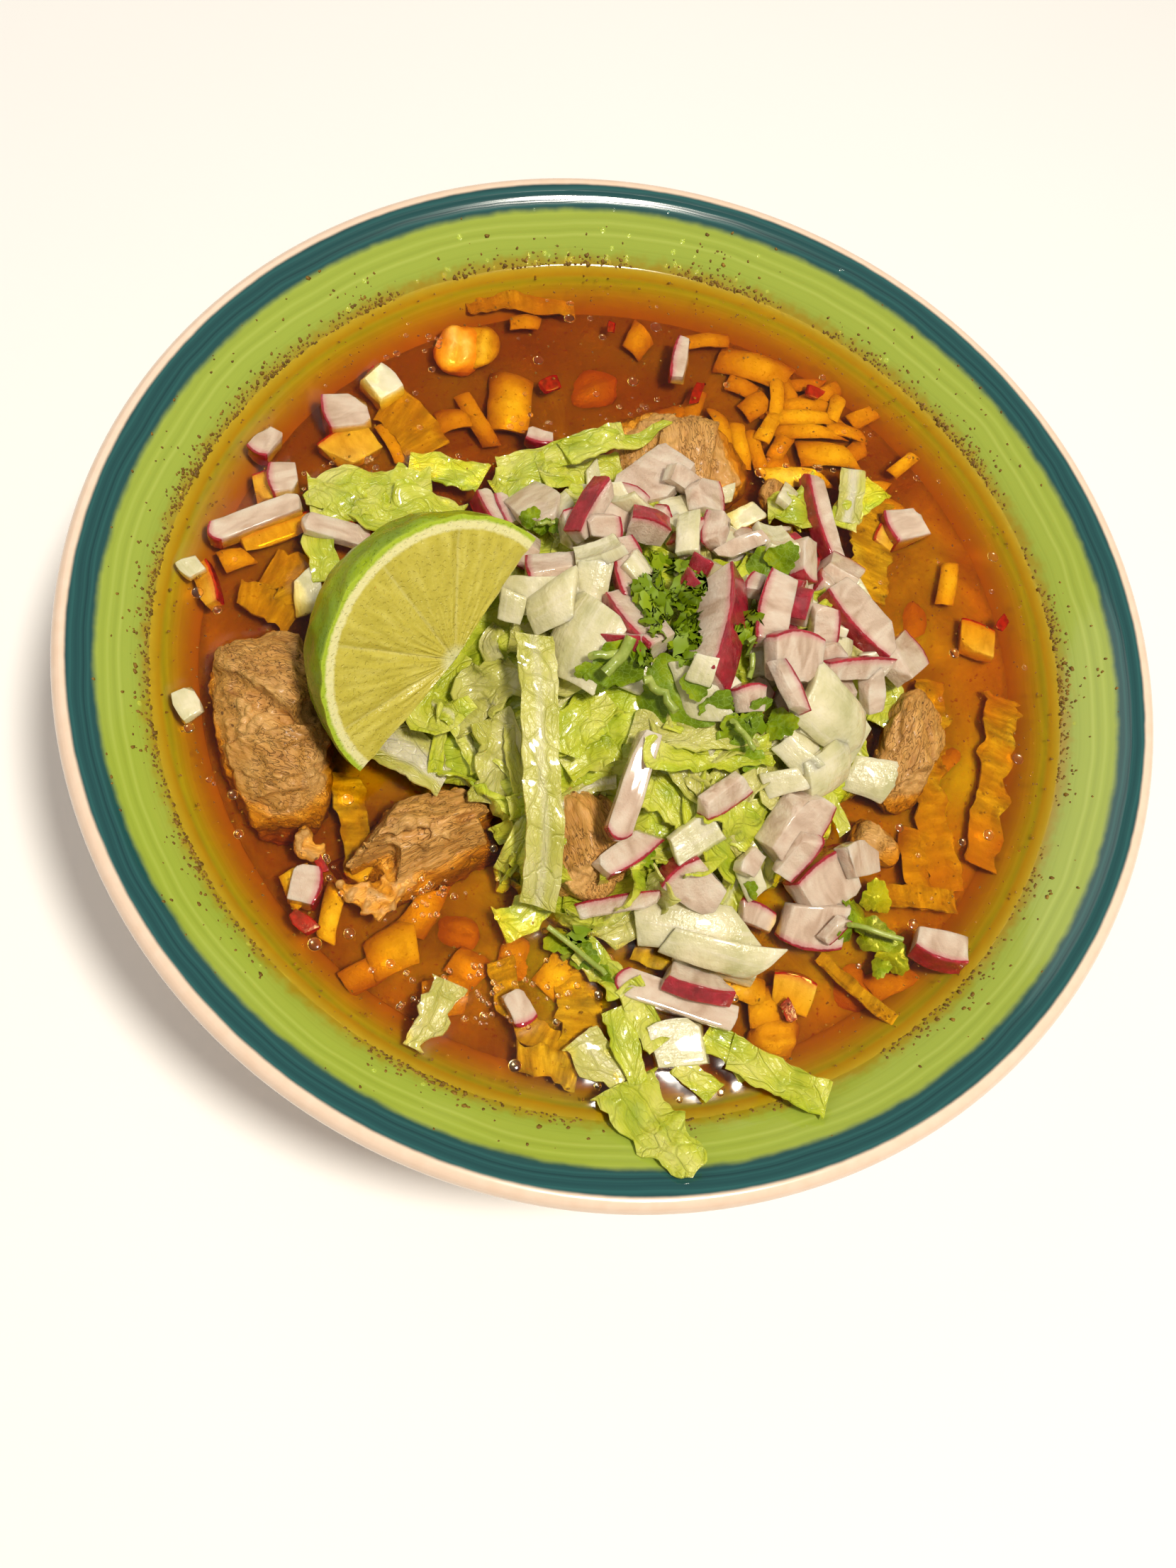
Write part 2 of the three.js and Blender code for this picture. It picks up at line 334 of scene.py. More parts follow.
def fromAxis(place):
    flat = addNode("Mapping", {"Vector": place, "Scale": (1, 1, 0)}).outputs[0]
    return addNode("VectorMath", {0: flat}, operation="LENGTH").outputs["Value"]


# Object coordinates, or the piece's own kept coordinates, in millimetres.
def millimetres(own=None, stretch=(1, 1, 1)):
    if own:
        source = addNode("Attribute", attribute_name=own).outputs["Vector"]
    else:
        source = addNode("TexCoord").outputs["Object"]
    size = [way if own else way / mm for way in stretch]
    return addNode("Mapping", {"Vector": source, "Scale": size}).outputs[0]


def cloud(place, scale, detail=4.0, rough=0.55, twist=0.0):
    links = {"Vector": place, "Scale": scale, "Detail": detail, "Roughness": rough, "Distortion": twist}
    return addNode("TexNoise", links).outputs["Fac"]


def cracks(place, scale, width, strength):
    net = addNode("TexVoronoi", {"Vector": place, "Scale": scale}, feature="DISTANCE_TO_EDGE")
    return fade(net.outputs["Distance"], 0.0, width, strength, 0.0)


def fade(value, low, high, start=0.0, end=1.0):
    links = {"Value": value, "From Min": low, "From Max": high, "To Min": start, "To Max": end}
    return addNode("MapRange", links, interpolation_type="SMOOTHSTEP").outputs["Result"]


# Stops are a place from 0 to 1 and a colour each.
def ramp(value, *stops):
    node = addNode("ValToRGB", {"Fac": value})
    elements = node.color_ramp.elements
    while len(elements) < len(stops):
        elements.new(0.5)
    for element, (place, colour) in zip(elements, stops):
        element.position = place
        element.color = tone(colour) if len(colour) == 3 else colour
    return node.outputs["Color"]


def blend(share, first, second):
    node = addNode("Mix", data_type="RGBA", clamp_factor=True)
    first, second = (tone(c) if isinstance(c, tuple) and len(c) == 3 else c for c in (first, second))
    feed(node, {0: share, 6: first, 7: second})
    return node.outputs[2]


# Gives the material in hand its colour, and bumps of a height and a depth in mm.
def paint(colour, height=None, depth=0.0, strength=1.0):
    feed(inHand["shader"], {"Base Color": colour})
    if height:
        bump = addNode("Bump", {"Height": height, "Distance": depth * mm, "Strength": strength})
        feed(inHand["shader"], {"Normal": bump.outputs["Normal"]})
    return inHand["material"]


# A clear material that lets light through to what lies below.
def clearMaterial(name, colour, **plain):
    newMaterial(name, Transmission_Weight=1.0, **plain)
    shadow = addNode("LightPath").outputs["Is Shadow Ray"]
    links = {0: shadow, 1: inHand["shader"].outputs[0], 2: addNode("BsdfTransparent").outputs[0]}
    feed(inHand["output"], {"Surface": addNode("MixShader", links).outputs[0]})
    return paint(colour)


# the camera

view = {
    "place": (-0.0444, -0.0985, 0.2756),
    "looks": (0.1549, 0.3067, -0.9391),
    "up": (-0.0245, 0.9515, 0.3067),
    "lens": 30.11,
}


def addCamera():
    bpy.ops.object.camera_add(location=view["place"])
    camera = bpy.context.object
    looks = Vector(view["looks"]).normalized()
    up = squareTo(looks, Vector(view["up"]))
    camera.rotation_euler = Matrix((looks.cross(up), up, -looks)).transposed().to_euler()
    camera.data.lens = view["lens"]
    camera.data.sensor_width = 36
    bpy.context.scene.camera = camera
    print("camera set")


addCamera()


# the bowl

bowl = {
    # the inner wall as radius and height, in millimetres
    "innerWall": [
        (0, 9), (22, 9.9), (45, 17.5), (60, 28.5), (75, 43.8), (84.9, 55.4), (93.5, 63), (96.2, 64.5),
    ],
    "floorThickness": 5.6,
    "lipThickness": 4.6,
    "rimRadius": 100,
    "lipRadius": 2.2,
    "footRadius": 39,
    "footRidge": 5,
    "sides": 240,
    "ringRelief": 0.07,
    "tealFrom": 93.0,
    "creamFrom": 97.4,
}
wallLine = smoothLine(bowl["innerWall"], 150)


def wallRadius(height):
    for (r0, z0), (r1, z1) in zip(wallLine, wallLine[1:]):
        if z1 >= height:
            return r0 + (r1 - r0) * (height - z0) / max(z1 - z0, 1e-6)
    return wallLine[-1][0]


def bowlProfile():
    recess = bowl["innerWall"][0][1] - bowl["floorThickness"]
    foot = bowl["footRadius"]
    ridge = foot - bowl["footRidge"]
    profile = [(0, recess), (10, recess), (20, recess), (ridge - 1.2, recess), (ridge - 0.6, 1.2)]
    profile += [(ridge, 0.25), (ridge + 0.6, 0), (foot - 0.6, 0), (foot, 0.3)]
    lipStart = (0.974, 0.62)
    for share in np.linspace(0.35, lipStart[0], 60):
        k = int(share * 150)
        (r0, z0), (r1, z1) = wallLine[k], wallLine[min(k + 1, 150)]
        step = hypot(r1 - r0, z1 - z0)
        thick = bowl["floorThickness"] + (bowl["lipThickness"] - bowl["floorThickness"]) * share
        outer = (r0 + (z1 - z0) / step * thick, z0 - (r1 - r0) / step * thick)
        if outer[0] > foot + 0.8 and 2 < outer[1] < rimTop / mm - 5:
            profile.append(outer)
    lip = bowl["lipRadius"]
    for angle in np.linspace(-0.15, lipStart[1], 12):
        r, z = bowl["rimRadius"] - lip, rimTop / mm - lip
        profile.append((r + lip * cos(angle * pi), z + lip * sin(angle * pi)))
    for r, z in reversed(wallLine):
        ring = bowl["ringRelief"] * wobble((r * 0.55, 4.0, 0))
        profile.append((r, z + (ring if 4 < r < 95 else 0)))
    profile[-1] = (0, profile[-1][1])
    return profile


def spunFrom(name, profile, sides):
    polyline([(r * mm, 0, z * mm) for r, z in profile])
    bpy.ops.object.convert(target="MESH")
    piece = newest(name)
    with editing(piece):
        bpy.ops.mesh.spin(steps=sides, angle=circle, center=(0, 0, 0), axis=(0, 0, 1))
    cleanMesh(piece)
    return piece


def glazeMaterial():
    newMaterial("brushedGreenGlaze", Roughness=0.16, Coat_Weight=0.35, Coat_Roughness=0.06)
    place = millimetres()
    radius = fromAxis(place)
    wander = timesPlus(cloud(place, 0.035, 2.0), 2.4, -1.2)
    brushed = addNode("CombineXYZ", {0: plus(radius, wander)}).outputs[0]
    fine = cloud(brushed, 1.1, 3.0)
    strokes = timesPlus(fine, 0.35, times(cloud(brushed, 0.28, 2.0), 0.65))
    greens = ramp(strokes, (0.30, (140, 158, 52)), (0.50, (163, 181, 68)), (0.68, (190, 204, 98)))
    feather = timesPlus(cloud(place, 0.25, 2.0), 0.7, -0.35)
    dark = ramp(fine, (0.35, (18, 62, 66)), (0.65, (38, 92, 92)))
    teal = fade(plus(radius, feather), bowl["tealFrom"] - 0.5, bowl["tealFrom"] + 0.7)
    colour = blend(teal, greens, dark)
    slight = timesPlus(feather, 0.35, radius)
    rim = fade(slight, bowl["creamFrom"] - 0.3, bowl["creamFrom"] + 0.35)
    colour = blend(rim, colour, blend(cloud(place, 0.4, 5.0), (232, 200, 172), (244, 220, 198)))
    # below the soup line the wall takes the murk's colour, so that its shore doesn't show
    depth = axis(place, 2)
    clouded = timesPlus(cloud(place, 0.12, 4.0), 2.4, depth)
    inside = fade(radius, 86.4, 86.8, 1.0, 0.0)
    murky = times(fade(clouded, level - 6.4, level - 1.2, 1.0, 0.0), inside)
    colour = blend(murky, colour, (0.44, 0.6, 0.012, 1))
    # broth that dried above the soup line
    ragged = timesPlus(cloud(place, 0.45, 4.0), -2.6, depth)
    dried = fade(ragged, level - 1.0, level + 1.4, 0.85, 0.0)
    colour = blend(times(dried, fade(depth, level - 2, level - 1)), colour, (164, 132, 8))
    return paint(colour, strokes, 0.25, 0.5)


def creamMaterial():
    newMaterial("creamGlaze", Roughness=0.22, Coat_Weight=0.3, Coat_Roughness=0.08)
    place = millimetres()
    specks = fade(cloud(place, 1.4, 2.0), 0.68, 0.76)
    cream = ramp(cloud(place, 0.06, 6.0), (0.35, (226, 196, 168)), (0.65, (243, 219, 197)))
    return paint(blend(specks, cream, (176, 140, 104)), cloud(place, 0.2, 4.0), 0.3, 0.4)


def clayMaterial():
    newMaterial("bareClay", Roughness=0.82)
    place = millimetres()
    clay = ramp(cloud(place, 0.5, 8.0), (0.3, (176, 148, 120)), (0.7, (205, 180, 152)))
    return paint(clay, cloud(place, 2.5, 5.0), 0.2, 0.8)


def makeBowl():
    piece = spunFrom("glazed_bowl", bowlProfile(), bowl["sides"])
    finish(piece, glazeMaterial(), "bowl_glaze", "bowl", floats=False)
    piece.data.materials.append(creamMaterial())
    piece.data.materials.append(clayMaterial())
    for face in piece.data.polygons:
        outward = face.normal.x * face.center.x + face.normal.y * face.center.y
        radius = hypot(face.center.x, face.center.y) / mm
        if face.center.z < 1.1 * mm and abs(radius - bowl["footRadius"] + 2) < 5:
            face.material_index = 2
        elif face.normal.z < -0.2 or (outward > 0 and face.center.z < rimTop - 3 * mm):
            face.material_index = 1
    smoothShade(piece)
    print("bowl made")


makeBowl()


# the broth, and the murk of chilli and fat that closes off its depth

broth = {
    "absorbs": 900,
    "lets": (0.976, 0.852, 0.0, 1),
    "climb": 0.7,  # how far the edge climbs the wall
    "edge": 3,  # how wide it is where it climbs
    "bite": 0.15,  # how far it reaches into the wall
    "swell": 0.05,
    "ripple": 0.02,
    "meniscus": (0.24, 0.7),  # how high it climbs what floats, and how far from it
    "ringStep": 0.9,
    "sides": 420,
    "murkDepth": 6.6,
    "murkShelf": 1.6,  # how much deeper it lies at the wall
    "murkShore": 12,  # how wide that part is
    "murkWaves": (3.0, 1.2),
    "murkTilt": (0.2, -1.0),  # rise in mm over 80 mm, to the right and to the back
}


def brothMaterial():
    material = clearMaterial("redBroth", (1, 1, 1, 1), Roughness=0.1, IOR=1.34, Specular_IOR_Level=0.2)
    soak = addNode("VolumeAbsorption", {"Color": broth["lets"], "Density": broth["absorbs"]})
    feed(inHand["output"], {"Volume": soak.outputs[0]})
    return material


def murkMaterial():
    newMaterial("chilliMurk", (0.9, (1.0, 0.5, 0.05), 0.007), Roughness=0.9)
    place = millimetres()
    # painted shade: the murk is darker towards the back and lighter to the right, as the light falls across
    # the broth
    shadeBehind = highest(axis(place, 1), 0.0)
    cloudsAndShade = timesPlus(shadeBehind, -0.0035, cloud(place, 0.05, 5.0, 0.65, 0.8))
    cloudsAndShade = timesPlus(axis(place, 0), 0.001, cloudsAndShade)
    stops = (0.32, (0.25, 0.3, 0.005, 1)), (0.5, (0.35, 0.47, 0.008, 1)), (0.68, (0.48, 0.67, 0.01, 1))
    grains = fade(cloud(place, 0.9, 3.0), 0.60, 0.75, 0.0, 0.7)
    colour = blend(grains, ramp(cloudsAndShade, *stops), (0.2, 0.12, 0.01, 1))
    return paint(colour, cloud(place, 0.5, 5.0), 0.8, 0.7)


def treeOf(pieces):
    corners, faces = [], []
    for piece in pieces:
        start = len(corners)
        corners += [vertex.co.copy() for vertex in piece.data.vertices]
        faces += [[start + i for i in face.vertices] for face in piece.data.polygons]
    return BVHTree.FromPolygons(corners, faces)


def floating():
    return [piece for piece in bpy.context.scene.objects if piece.get("breaksSurface")]


def downTheWall(profile, step, below, out, up):
    profile += [(max(r + out, 0), z + up) for r, z in reversed(wallLine[::step]) if z < below]
    profile[-1] = (0, profile[-1][1])


def makeBroth():
    edge = wallRadius(level + broth["climb"]) + broth["bite"]
    inner = edge - broth["edge"]
    profile = [(r, level) for r in np.arange(0, inner, broth["ringStep"])]
    for r in np.linspace(inner, edge, 9):
        profile.append((r, level + broth["climb"] * ((r - inner) / (edge - inner)) ** 3))
    downTheWall(profile, 3, level - 0.3, 0.25, -0.15)
    piece = spunFrom("clear_broth", profile, broth["sides"])
    near = treeOf(floating())
    points = pointsOf(piece)
    for i, (x, y, z) in enumerate(points):
        if z > brothTop - 0.1 * mm:
            lift = broth["swell"] * wobble((x, y, 0), 90) + broth["ripple"] * wobble((x, y, 3), 350)
            found, normal, face, far = near.find_nearest(Vector((x, y, brothTop)))
            if found.z > brothTop - 0.5 * mm:
                lift += broth["meniscus"][0] * exp(-far / (broth["meniscus"][1] * mm))
            points[i][2] = z + lift * mm
    putPoints(piece, points)
    smoothShade(piece, 70)
    finish(piece, brothMaterial(), "broth", "broth")


def makeMurk():
    top = level - broth["murkDepth"]
    shore = wallRadius(top) - broth["murkShore"]
    low = top - broth["murkShelf"]
    reach = wallRadius(low) - 0.3
    profile = [(r, top) for r in np.arange(0, shore, 1.5)]
    for share in np.linspace(0, 1, 7):
        profile.append((shore + (reach - shore) * share, top - (top - low) * share ** 1.6))
    downTheWall(profile, 4, low - 1, -0.4, 0.3)
    piece = spunFrom("chilli_murk", profile, 160)
    points = pointsOf(piece)
    for i, (x, y, z) in enumerate(points):
        if z > (low - 0.2) * mm:
            inside = clip((reach * mm - hypot(x, y)) / (9 * mm))
            slow, quick = broth["murkWaves"]
            lift = slow * wobble((x, y, 0), 38) + quick * wobble((x, y, 0), 110)
            lift += (broth["murkTilt"][0] * x + broth["murkTilt"][1] * y) / (80 * mm)
            points[i][2] = z + lift * inside * mm
    putPoints(piece, points)
    smoothShade(piece, 70)
    finish(piece, murkMaterial(), "broth", floats=False)


# tops of what lies in the bowl, in millimetres above the broth, so that each piece rests on the last

tops = {"cell": 0.5, "reach": 90.0, "under": -1.5}
tops["count"] = int(2 * tops["reach"] / tops["cell"]) + 1
heights = np.full((tops["count"], tops["count"]), tops["under"])
outline = heights.copy()  # how high the salad reaches
shown = np.zeros(heights.shape, bool)  # where a topping shows, so that no shred covers it


def cellOf(x, y):
    return tuple(int(min(max((c + tops["reach"]) / tops["cell"], 0), tops["count"] - 1)) for c in (x, y))


def heightAt(x, y):
    return heights[cellOf(x, y)]


def raiseTop(x, y, top):
    heights[cellOf(x, y)] = max(heights[cellOf(x, y)], top)


def readTops(piece, into=heights, shows=False):
    tree = treeOf([piece])
    points = pointsOf(piece) / mm
    (left, front), (right, back) = cellOf(*points.min(0)[:2]), cellOf(*points.max(0)[:2])
    for i in range(left, right + 1):
        for j in range(front, back + 1):
            x, y = (k * tops["cell"] - tops["reach"] for k in (i, j))
            found = tree.ray_cast(Vector((x * mm, y * mm, 0.2)), Vector((0, 0, -1)))[0]
            if found:
                into[i, j] = max(into[i, j], (found.z - brothTop) / mm)
                shown[i, j] |= shows


# Where the camera's line of sight through a place on the broth's plane meets the pile.
def whereSeen(x, y):
    eye = [c / mm for c in view["place"]]
    height = 0.0
    for step in range(14):
        share = 1 - height / (eye[2] - level)
        place = (eye[0] + (x - eye[0]) * share, eye[1] + (y - eye[1]) * share)
        height += 0.5 * (max(heightAt(*place), 0) - height)
    return place


# The way a piece lies on what is under it: a plane through the tops below its outline.
def settled(x, y, size, turn, sink=0.5, steepest=0.8, lift=0.0):
    c, s = cos(radians(turn)), sin(radians(turn))

    def spots(reach, rows, columns):
        for a in np.linspace(-reach, reach, rows) * size[0]:
            for b in np.linspace(-reach, reach, columns) * size[1]:
                yield x + a * c - b * s, y + a * s + b * c

    samples = np.array([(px - x, py - y, heightAt(px, py)) for px, py in spots(0.42, 7, 5)])
    plane = np.c_[samples[:, :2], np.ones(len(samples))]
    slope = np.linalg.lstsq(plane, samples[:, 2], rcond=None)[0]
    steep = hypot(slope[0], slope[1])
    if steep > steepest:
        slope[:2] *= steepest / steep
    rest = np.percentile(samples[:, 2] - plane[:, :2] @ slope[:2], 72) + lift
    up = Vector((-slope[0], -slope[1], 1)).normalized()
    along = Vector((c, s, c * slope[0] + s * slope[1])).normalized()
    rows, columns = (max(3, int(side / tops["cell"]) + 1) for side in size[:2])
    for px, py in spots(0.46, rows, columns):
        raiseTop(px, py, rest + size[2] - sink + (px - x) * slope[0] + (py - y) * slope[1])
    lies = Matrix((along, up.cross(along), up)).transposed().to_4x4()
    return overBroth(x, y, rest + size[2] / 2 - sink) @ lies


# pork

pork = {
    "voxel": 0.42,
    # which way the grain runs, how pale it is, and the blocks it has come apart into: from and to along its
    # length, how much lower than the solid, and the flat faces split off it as turn, tilt and depth
    "chunks": {
        "pork_left": (-18, 0.0, 102, [
            (0.3, 1.0, -1.4, [(229, 14, (-65.2, -12.6)), (-30, 16, (-58.4, -15.0)), (150, 62, 1.2)]),
            (0.30, 1.0, 1.8, [(200, 46, 1.8), (130, 40, 1.0), (20, 55, 2.0)]),
            (0.0, 0.52, 0.9, [(230, 54, 3.0), (-46, 50, 3.4), (-84, 26, 4.5), (70, 62, 1.6)]),
            (0.25, 0.62, 2.8, [(190, 30, 0.5)]),
        ]),
        "pork_front": (30, 0.1, 20, [
            (0.1, 1.0, -1.4, [(-66, 14, (-36.0, -35.2)), (144, 14, (-44.0, -36.8)), (80, 60, 1.6),
                              (20, 50, 2.4)]),
            (0.2, 1.0, 1.4, [(-60, 40, 3.4), (188, 16, (-41.4, -38.9)), (20, 40, 3.6)]),
            (0.5, 0.86, 0.6, [(114, 20, 7.0), (-66, 30, 4.0)]),
            (0.0, 0.44, 6.4, [(110, 20, 5.0), (210, 50, 2.6)]),
        ]),
        "pork_middle": (-68, 0.0, 92, [
            (0.0, 1.0, -1.2, [(190, 60, 2.0), (20, 64, 1.6), (-70, 50, 3.0)]),
        ]),
        "pork_right": (66, 0.1, 68, [
            (0.0, 1.0, -0.6, [(8, 54, 2.4), (190, 60, 2.0), (-80, 40, 3.0)]),
        ]),
        "pork_right_low": (-30, 0.35, -35, [
            (0.0, 1.0, -0.6, [(300, 56, 1.6), (120, 60, 1.2)]),
        ]),
        "pork_back": (96, 0.2, -12, [
            (0.0, 0.42, 0.8, [(250, 58, 2.0), (120, 50, 3.0), (60, 20, 3.0)]),
            (0.34, 0.72, -0.8, [(100, 30, 3.4), (300, 62, 2.0), (190, 40, 3.0)]),
            (0.62, 1.0, 1.6, [(20, 48, 3.5), (100, 40, 2.0), (280, 60, 2.0)]),
        ]),
        "pork_back_bit": (60, 0.3, 60, [
            (0.0, 1.0, -0.5, [(200, 56, 1.0), (20, 50, 1.4)]),
        ]),
    },
    # nodules of fat and loose crumbs: place as the camera sees it on the broth's plane, radius in mm
    "nodules": {
        "pork_left": [
            (-69.2, -13.0, 1.2), (-67.4, -14.2, 1.5), (-68.6, -15.8, 1.1), (-66.0, -16.2, 1.4),
            (-64.4, -15.0, 1.0), (-67.0, -17.6, 0.9), (-64.2, -17.4, 1.1), (-68.2, -18.6, 1.2),
            (-57.4, -38.0, 2.2), (-55.0, -39.6, 1.8),
        ],
        "pork_front": [
            (-50.6, -46.2, 1.3), (-48.8, -47.6, 1.7), (-46.6, -49.0, 1.6), (-48.0, -45.8, 1.4),
            (-44.4, -47.6, 1.8), (-46.2, -46.4, 1.5), (-44.6, -50.2, 1.1), (-42.4, -48.8, 1.3),
            (-41.0, -46.4, 1.6), (-43.0, -44.8, 1.4), (-39.4, -44.8, 1.4), (-42.2, -37.4, 1.3),
            (-41.4, -35.6, 1.2), (-39.6, -34.4, 1.3), (-37.4, -34.4, 1.2), (-35.4, -35.4, 1.2),
            (-33.6, -36.6, 1.0),
        ],
    },
    "lumps": (3.6, 0.65),  # size and depth in mm
    "creaseDepth": 0.35,
    "layerStep": 0.3,
    "furrowDepth": 0.3,
    "crumbDepth": 1.2,
}


def porkMaterial():
    softness = 0.1, (1.0, 0.6, 0.25), 0.001
    newMaterial("stewedPork", softness, Roughness=0.5, Coat_Weight=0.12, Coat_Roughness=0.2)
    grained = millimetres("grain")
    fibre = cloud(millimetres("grain", (0.3, 2.2, 2.2)), 1.0, 5.0, 0.65, 0.3)
    bundle = cloud(millimetres("grain", (0.10, 0.4, 0.4)), 1.0, 4.0, 0.6, 0.5)
    both = timesPlus(bundle, 0.55, times(fibre, 0.45))
    lean = (0.34, (168, 112, 46)), (0.45, (196, 138, 62)), (0.56, (214, 158, 80)), (0.68, (230, 180, 106))
    fat = stored("fat")
    colour = blend(times(fat, 0.7), ramp(both, *lean), (226, 178, 106))
    # short cracks between the fibres; they and the creases and furrows are painted darker, as painted shade
    # in them
    split = cloud(millimetres("grain", (0.34, 1.5, 1.5)), 1.0, 1.5, 0.5, 0.8)
    edge = work("ABSOLUTE", minus(split, 0.5))
    crack = times(fade(edge, 0.004, 0.034, 1.0, 0.0), fade(cloud(grained, 0.1, 3.0), 0.36, 0.5))
    crack = times(crack, fade(fat, 0.3, 0.7, 1.0, 0.15))
    # painted shade: the cracks, creases and furrows take a dark brown
    deep = highest(times(crack, 0.42), times(stored("paintedCreaseShade"), 0.46))
    colour = blend(deep, colour, (118, 70, 24))
    # broth stains it near the soup line
    height = axis(millimetres(), 2)
    wet = fade(timesPlus(bundle, -3.0, height), level - 1.8, level + 1.2, 0.5, 0.0)
    colour = blend(wet, colour, (196, 136, 48))
    colour = blend(fade(height, level - 3.4, level - 0.2, 0.85, 0.0), colour, (116, 92, 26))
    specks = fade(cloud(grained, 0.7, 1.0), 0.72, 0.76)
    colour = blend(times(specks, 0.8), colour, (84, 46, 20))
    return paint(colour, timesPlus(crack, -0.6, both), 0.6)


# A block of the chunk: the solid cut across its length, with flat faces split off it.
def splitBlock(node, length, start, end, low, faces):
    piece = copyOfNode(node, "block")
    points = pointsOf(piece)
    along = np.array((cos(radians(length)), sin(radians(length)), 0.12))
    first, last = (points @ along).min(), (points @ along).max()
    planes = [planeAt(Vector(along), first + end * (last - first))]
    planes.append(planeAt(Vector(-along), -first - start * (last - first)))
    for turn, tilt, depth in faces:
        away = wayOf(turn, tilt)
        if isinstance(depth, tuple):  # the face goes through this place of the block's top
            far = away.dot(Vector((depth[0] * mm, depth[1] * mm, points[:, 2].max())))
        else:
            far = max(points @ np.array(away)) - depth * mm
        planes.append(planeAt(away, far))
    cutBeyond(piece, planes)
    piece.data.transform(Matrix.Translation((0, 0, -low * mm)))
    return piece


# Bundles of fibre with creases between them, torn off at different depths; short furrows follow the grain.
def tearMeat(piece, grained, amount, pale, spots):
    normals = np.empty(len(piece.data.vertices) * 3, np.float32)
    piece.data.vertex_normals.foreach_get("vector", normals)
    normals = normals.reshape(-1, 3)
    points = pointsOf(piece)
    paintedCreaseShade = np.zeros(len(points))
    fat = np.zeros(len(points))
    for i, (a, b, c) in enumerate(grained):
        bend = 1.6 * wobble((a * 0.1, b * 0.1, c * 0.1))
        b, c = b + bend, c - bend
        near, cells = noise.voronoi(Vector((a * 0.07, b * 0.15, c * 0.15)))
        crease = max(0, 1 - (near[1] - near[0]) / 0.13)
        layer = noise.cell(cells[0] * 40)
        line = wobble((a * 0.16, b * 0.6, c * 0.6))
        furrow = exp(-((line / 0.1) ** 2)) * clip(0.4 + 2.2 * wobble((a, b, c), 0.2))
        fatty = min(1, max(0, wobble((a + 30, b, c), 0.11) - 0.14 + 0.3 * pale) * 5)
        here = Vector(points[i])
        fatty = max([fatty] + [min(1, 2.4 - 1.6 * (here - spot).length / radius) for spot, radius in spots])
        crumb = fatty * (0.45 - noise.voronoi(Vector((a, b, c)) * 0.5)[0][0])
        push = 0.22 * wobble((a * 0.4, b * 1.3, c * 1.3)) + 0.24 * wobble((a, b, c), 0.5)
        push += pork["layerStep"] * (layer - 0.5) - pork["creaseDepth"] * crease ** 1.5
        push += pork["crumbDepth"] * crumb - pork["furrowDepth"] * furrow * (1 - fatty)
        points[i] += normals[i] * push * amount * mm
        # creases and furrows are kept for the material, which paints shade in them
        paintedCreaseShade[i] = min(1, 0.7 * crease ** 2 + 0.6 * furrow * (1 - fatty))
        fat[i] = min(1, 0.8 * fatty + pale * (0.5 + wobble((a, b, c), 0.25)))
    putPoints(piece, points)
    keep(piece, "paintedCreaseShade", paintedCreaseShade)
    keep(piece, "fat", fat)


# Lumps of fat and crumbs of meat on the piece, each where the camera sees it.
def addNodules(piece, nodules):
    top = BVHTree.FromObject(piece, bpy.context.evaluated_depsgraph_get())
    eye = Vector(view["place"])
    parts = [piece]
    spots = []
    for x, y, radius in nodules:
        plain = Vector((x * mm, y * mm, brothTop - 0.2 * mm))
        found = top.ray_cast(eye, plain - eye)[0]
        found = found if found and found.z > plain.z else plain
        spots.append((found, radius * mm))
        bpy.ops.mesh.primitive_uv_sphere_add(segments=14, ring_count=9, radius=radius * mm)
        nodule = newest("nodule")
        roughen(nodule, 1.2, 1.0)
        place = Matrix.Translation(found - Vector((0, 0, 0.3 * radius * mm)))
        nodule.data.transform(place @ turnBy(uniform(0, 3)) @ Matrix.Diagonal((1.4, 0.9, 0.9, 1)))
        parts.append(nodule)
    return joinAs(parts, piece.name), spots


def makePork():
    material = porkMaterial()
    for node, (grain, pale, length, blocks) in pork["chunks"].items():
        piece = joinAs([splitBlock(node, length, *block) for block in blocks], node + "_meat")
        piece, spots = addNodules(piece, pork["nodules"].get(node, ()))
        modify(piece, "REMESH", mode="VOXEL", voxel_size=pork["voxel"] * mm, use_smooth_shade=True)
        small = min(1.0, (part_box(node)[1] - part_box(node)[0]).length / (30 * mm))
        roughen(piece, *[number * small for number in pork["lumps"]])
        points = pointsOf(piece) / mm
        turn = radians(grain)
        rows = [(cos(turn), sin(turn), 0), (-sin(turn), cos(turn), 0), (0, 0, 1)]
        grained = (points - points.mean(0)) @ np.array(rows).T + 7 * len(node)
        keep(piece, "grain", grained)
        tearMeat(piece, grained, 0.4 + 0.6 * small, pale, spots)
        smoothShade(piece, 80)
        finish(piece, material, "pork", node)
    print("pork made")


makePork()


# the lime, made about its own core: the cut face looks along Z and the peel bulges along X

lime = {
    "core": (-32.8, -10, 15),  # above the broth
    "face": (0.48, -0.60, 0.64),
    "bulge": (-0.68, 0.26, 0.68),
    "radius": 24.6,
    "depth": 25.5,
    "sector": 172,
    "peel": 0.8,
    "pith": 1.5,
    "segments": 9.5,
    "firstWall": 0.27,
    "skin": 0.12,  # how deep the bumps of the peel go
    "cutBand": 0.08,  # how near the face a point counts as cut
    "sides": 300,
    "rings": 34,
}


def limePlace():
    face = Vector(lime["face"]).normalized()
    bulge = squareTo(face, Vector(lime["bulge"]))
    return overBroth(*lime["core"]) @ Matrix((bulge, face.cross(bulge), face)).transposed().to_4x4()


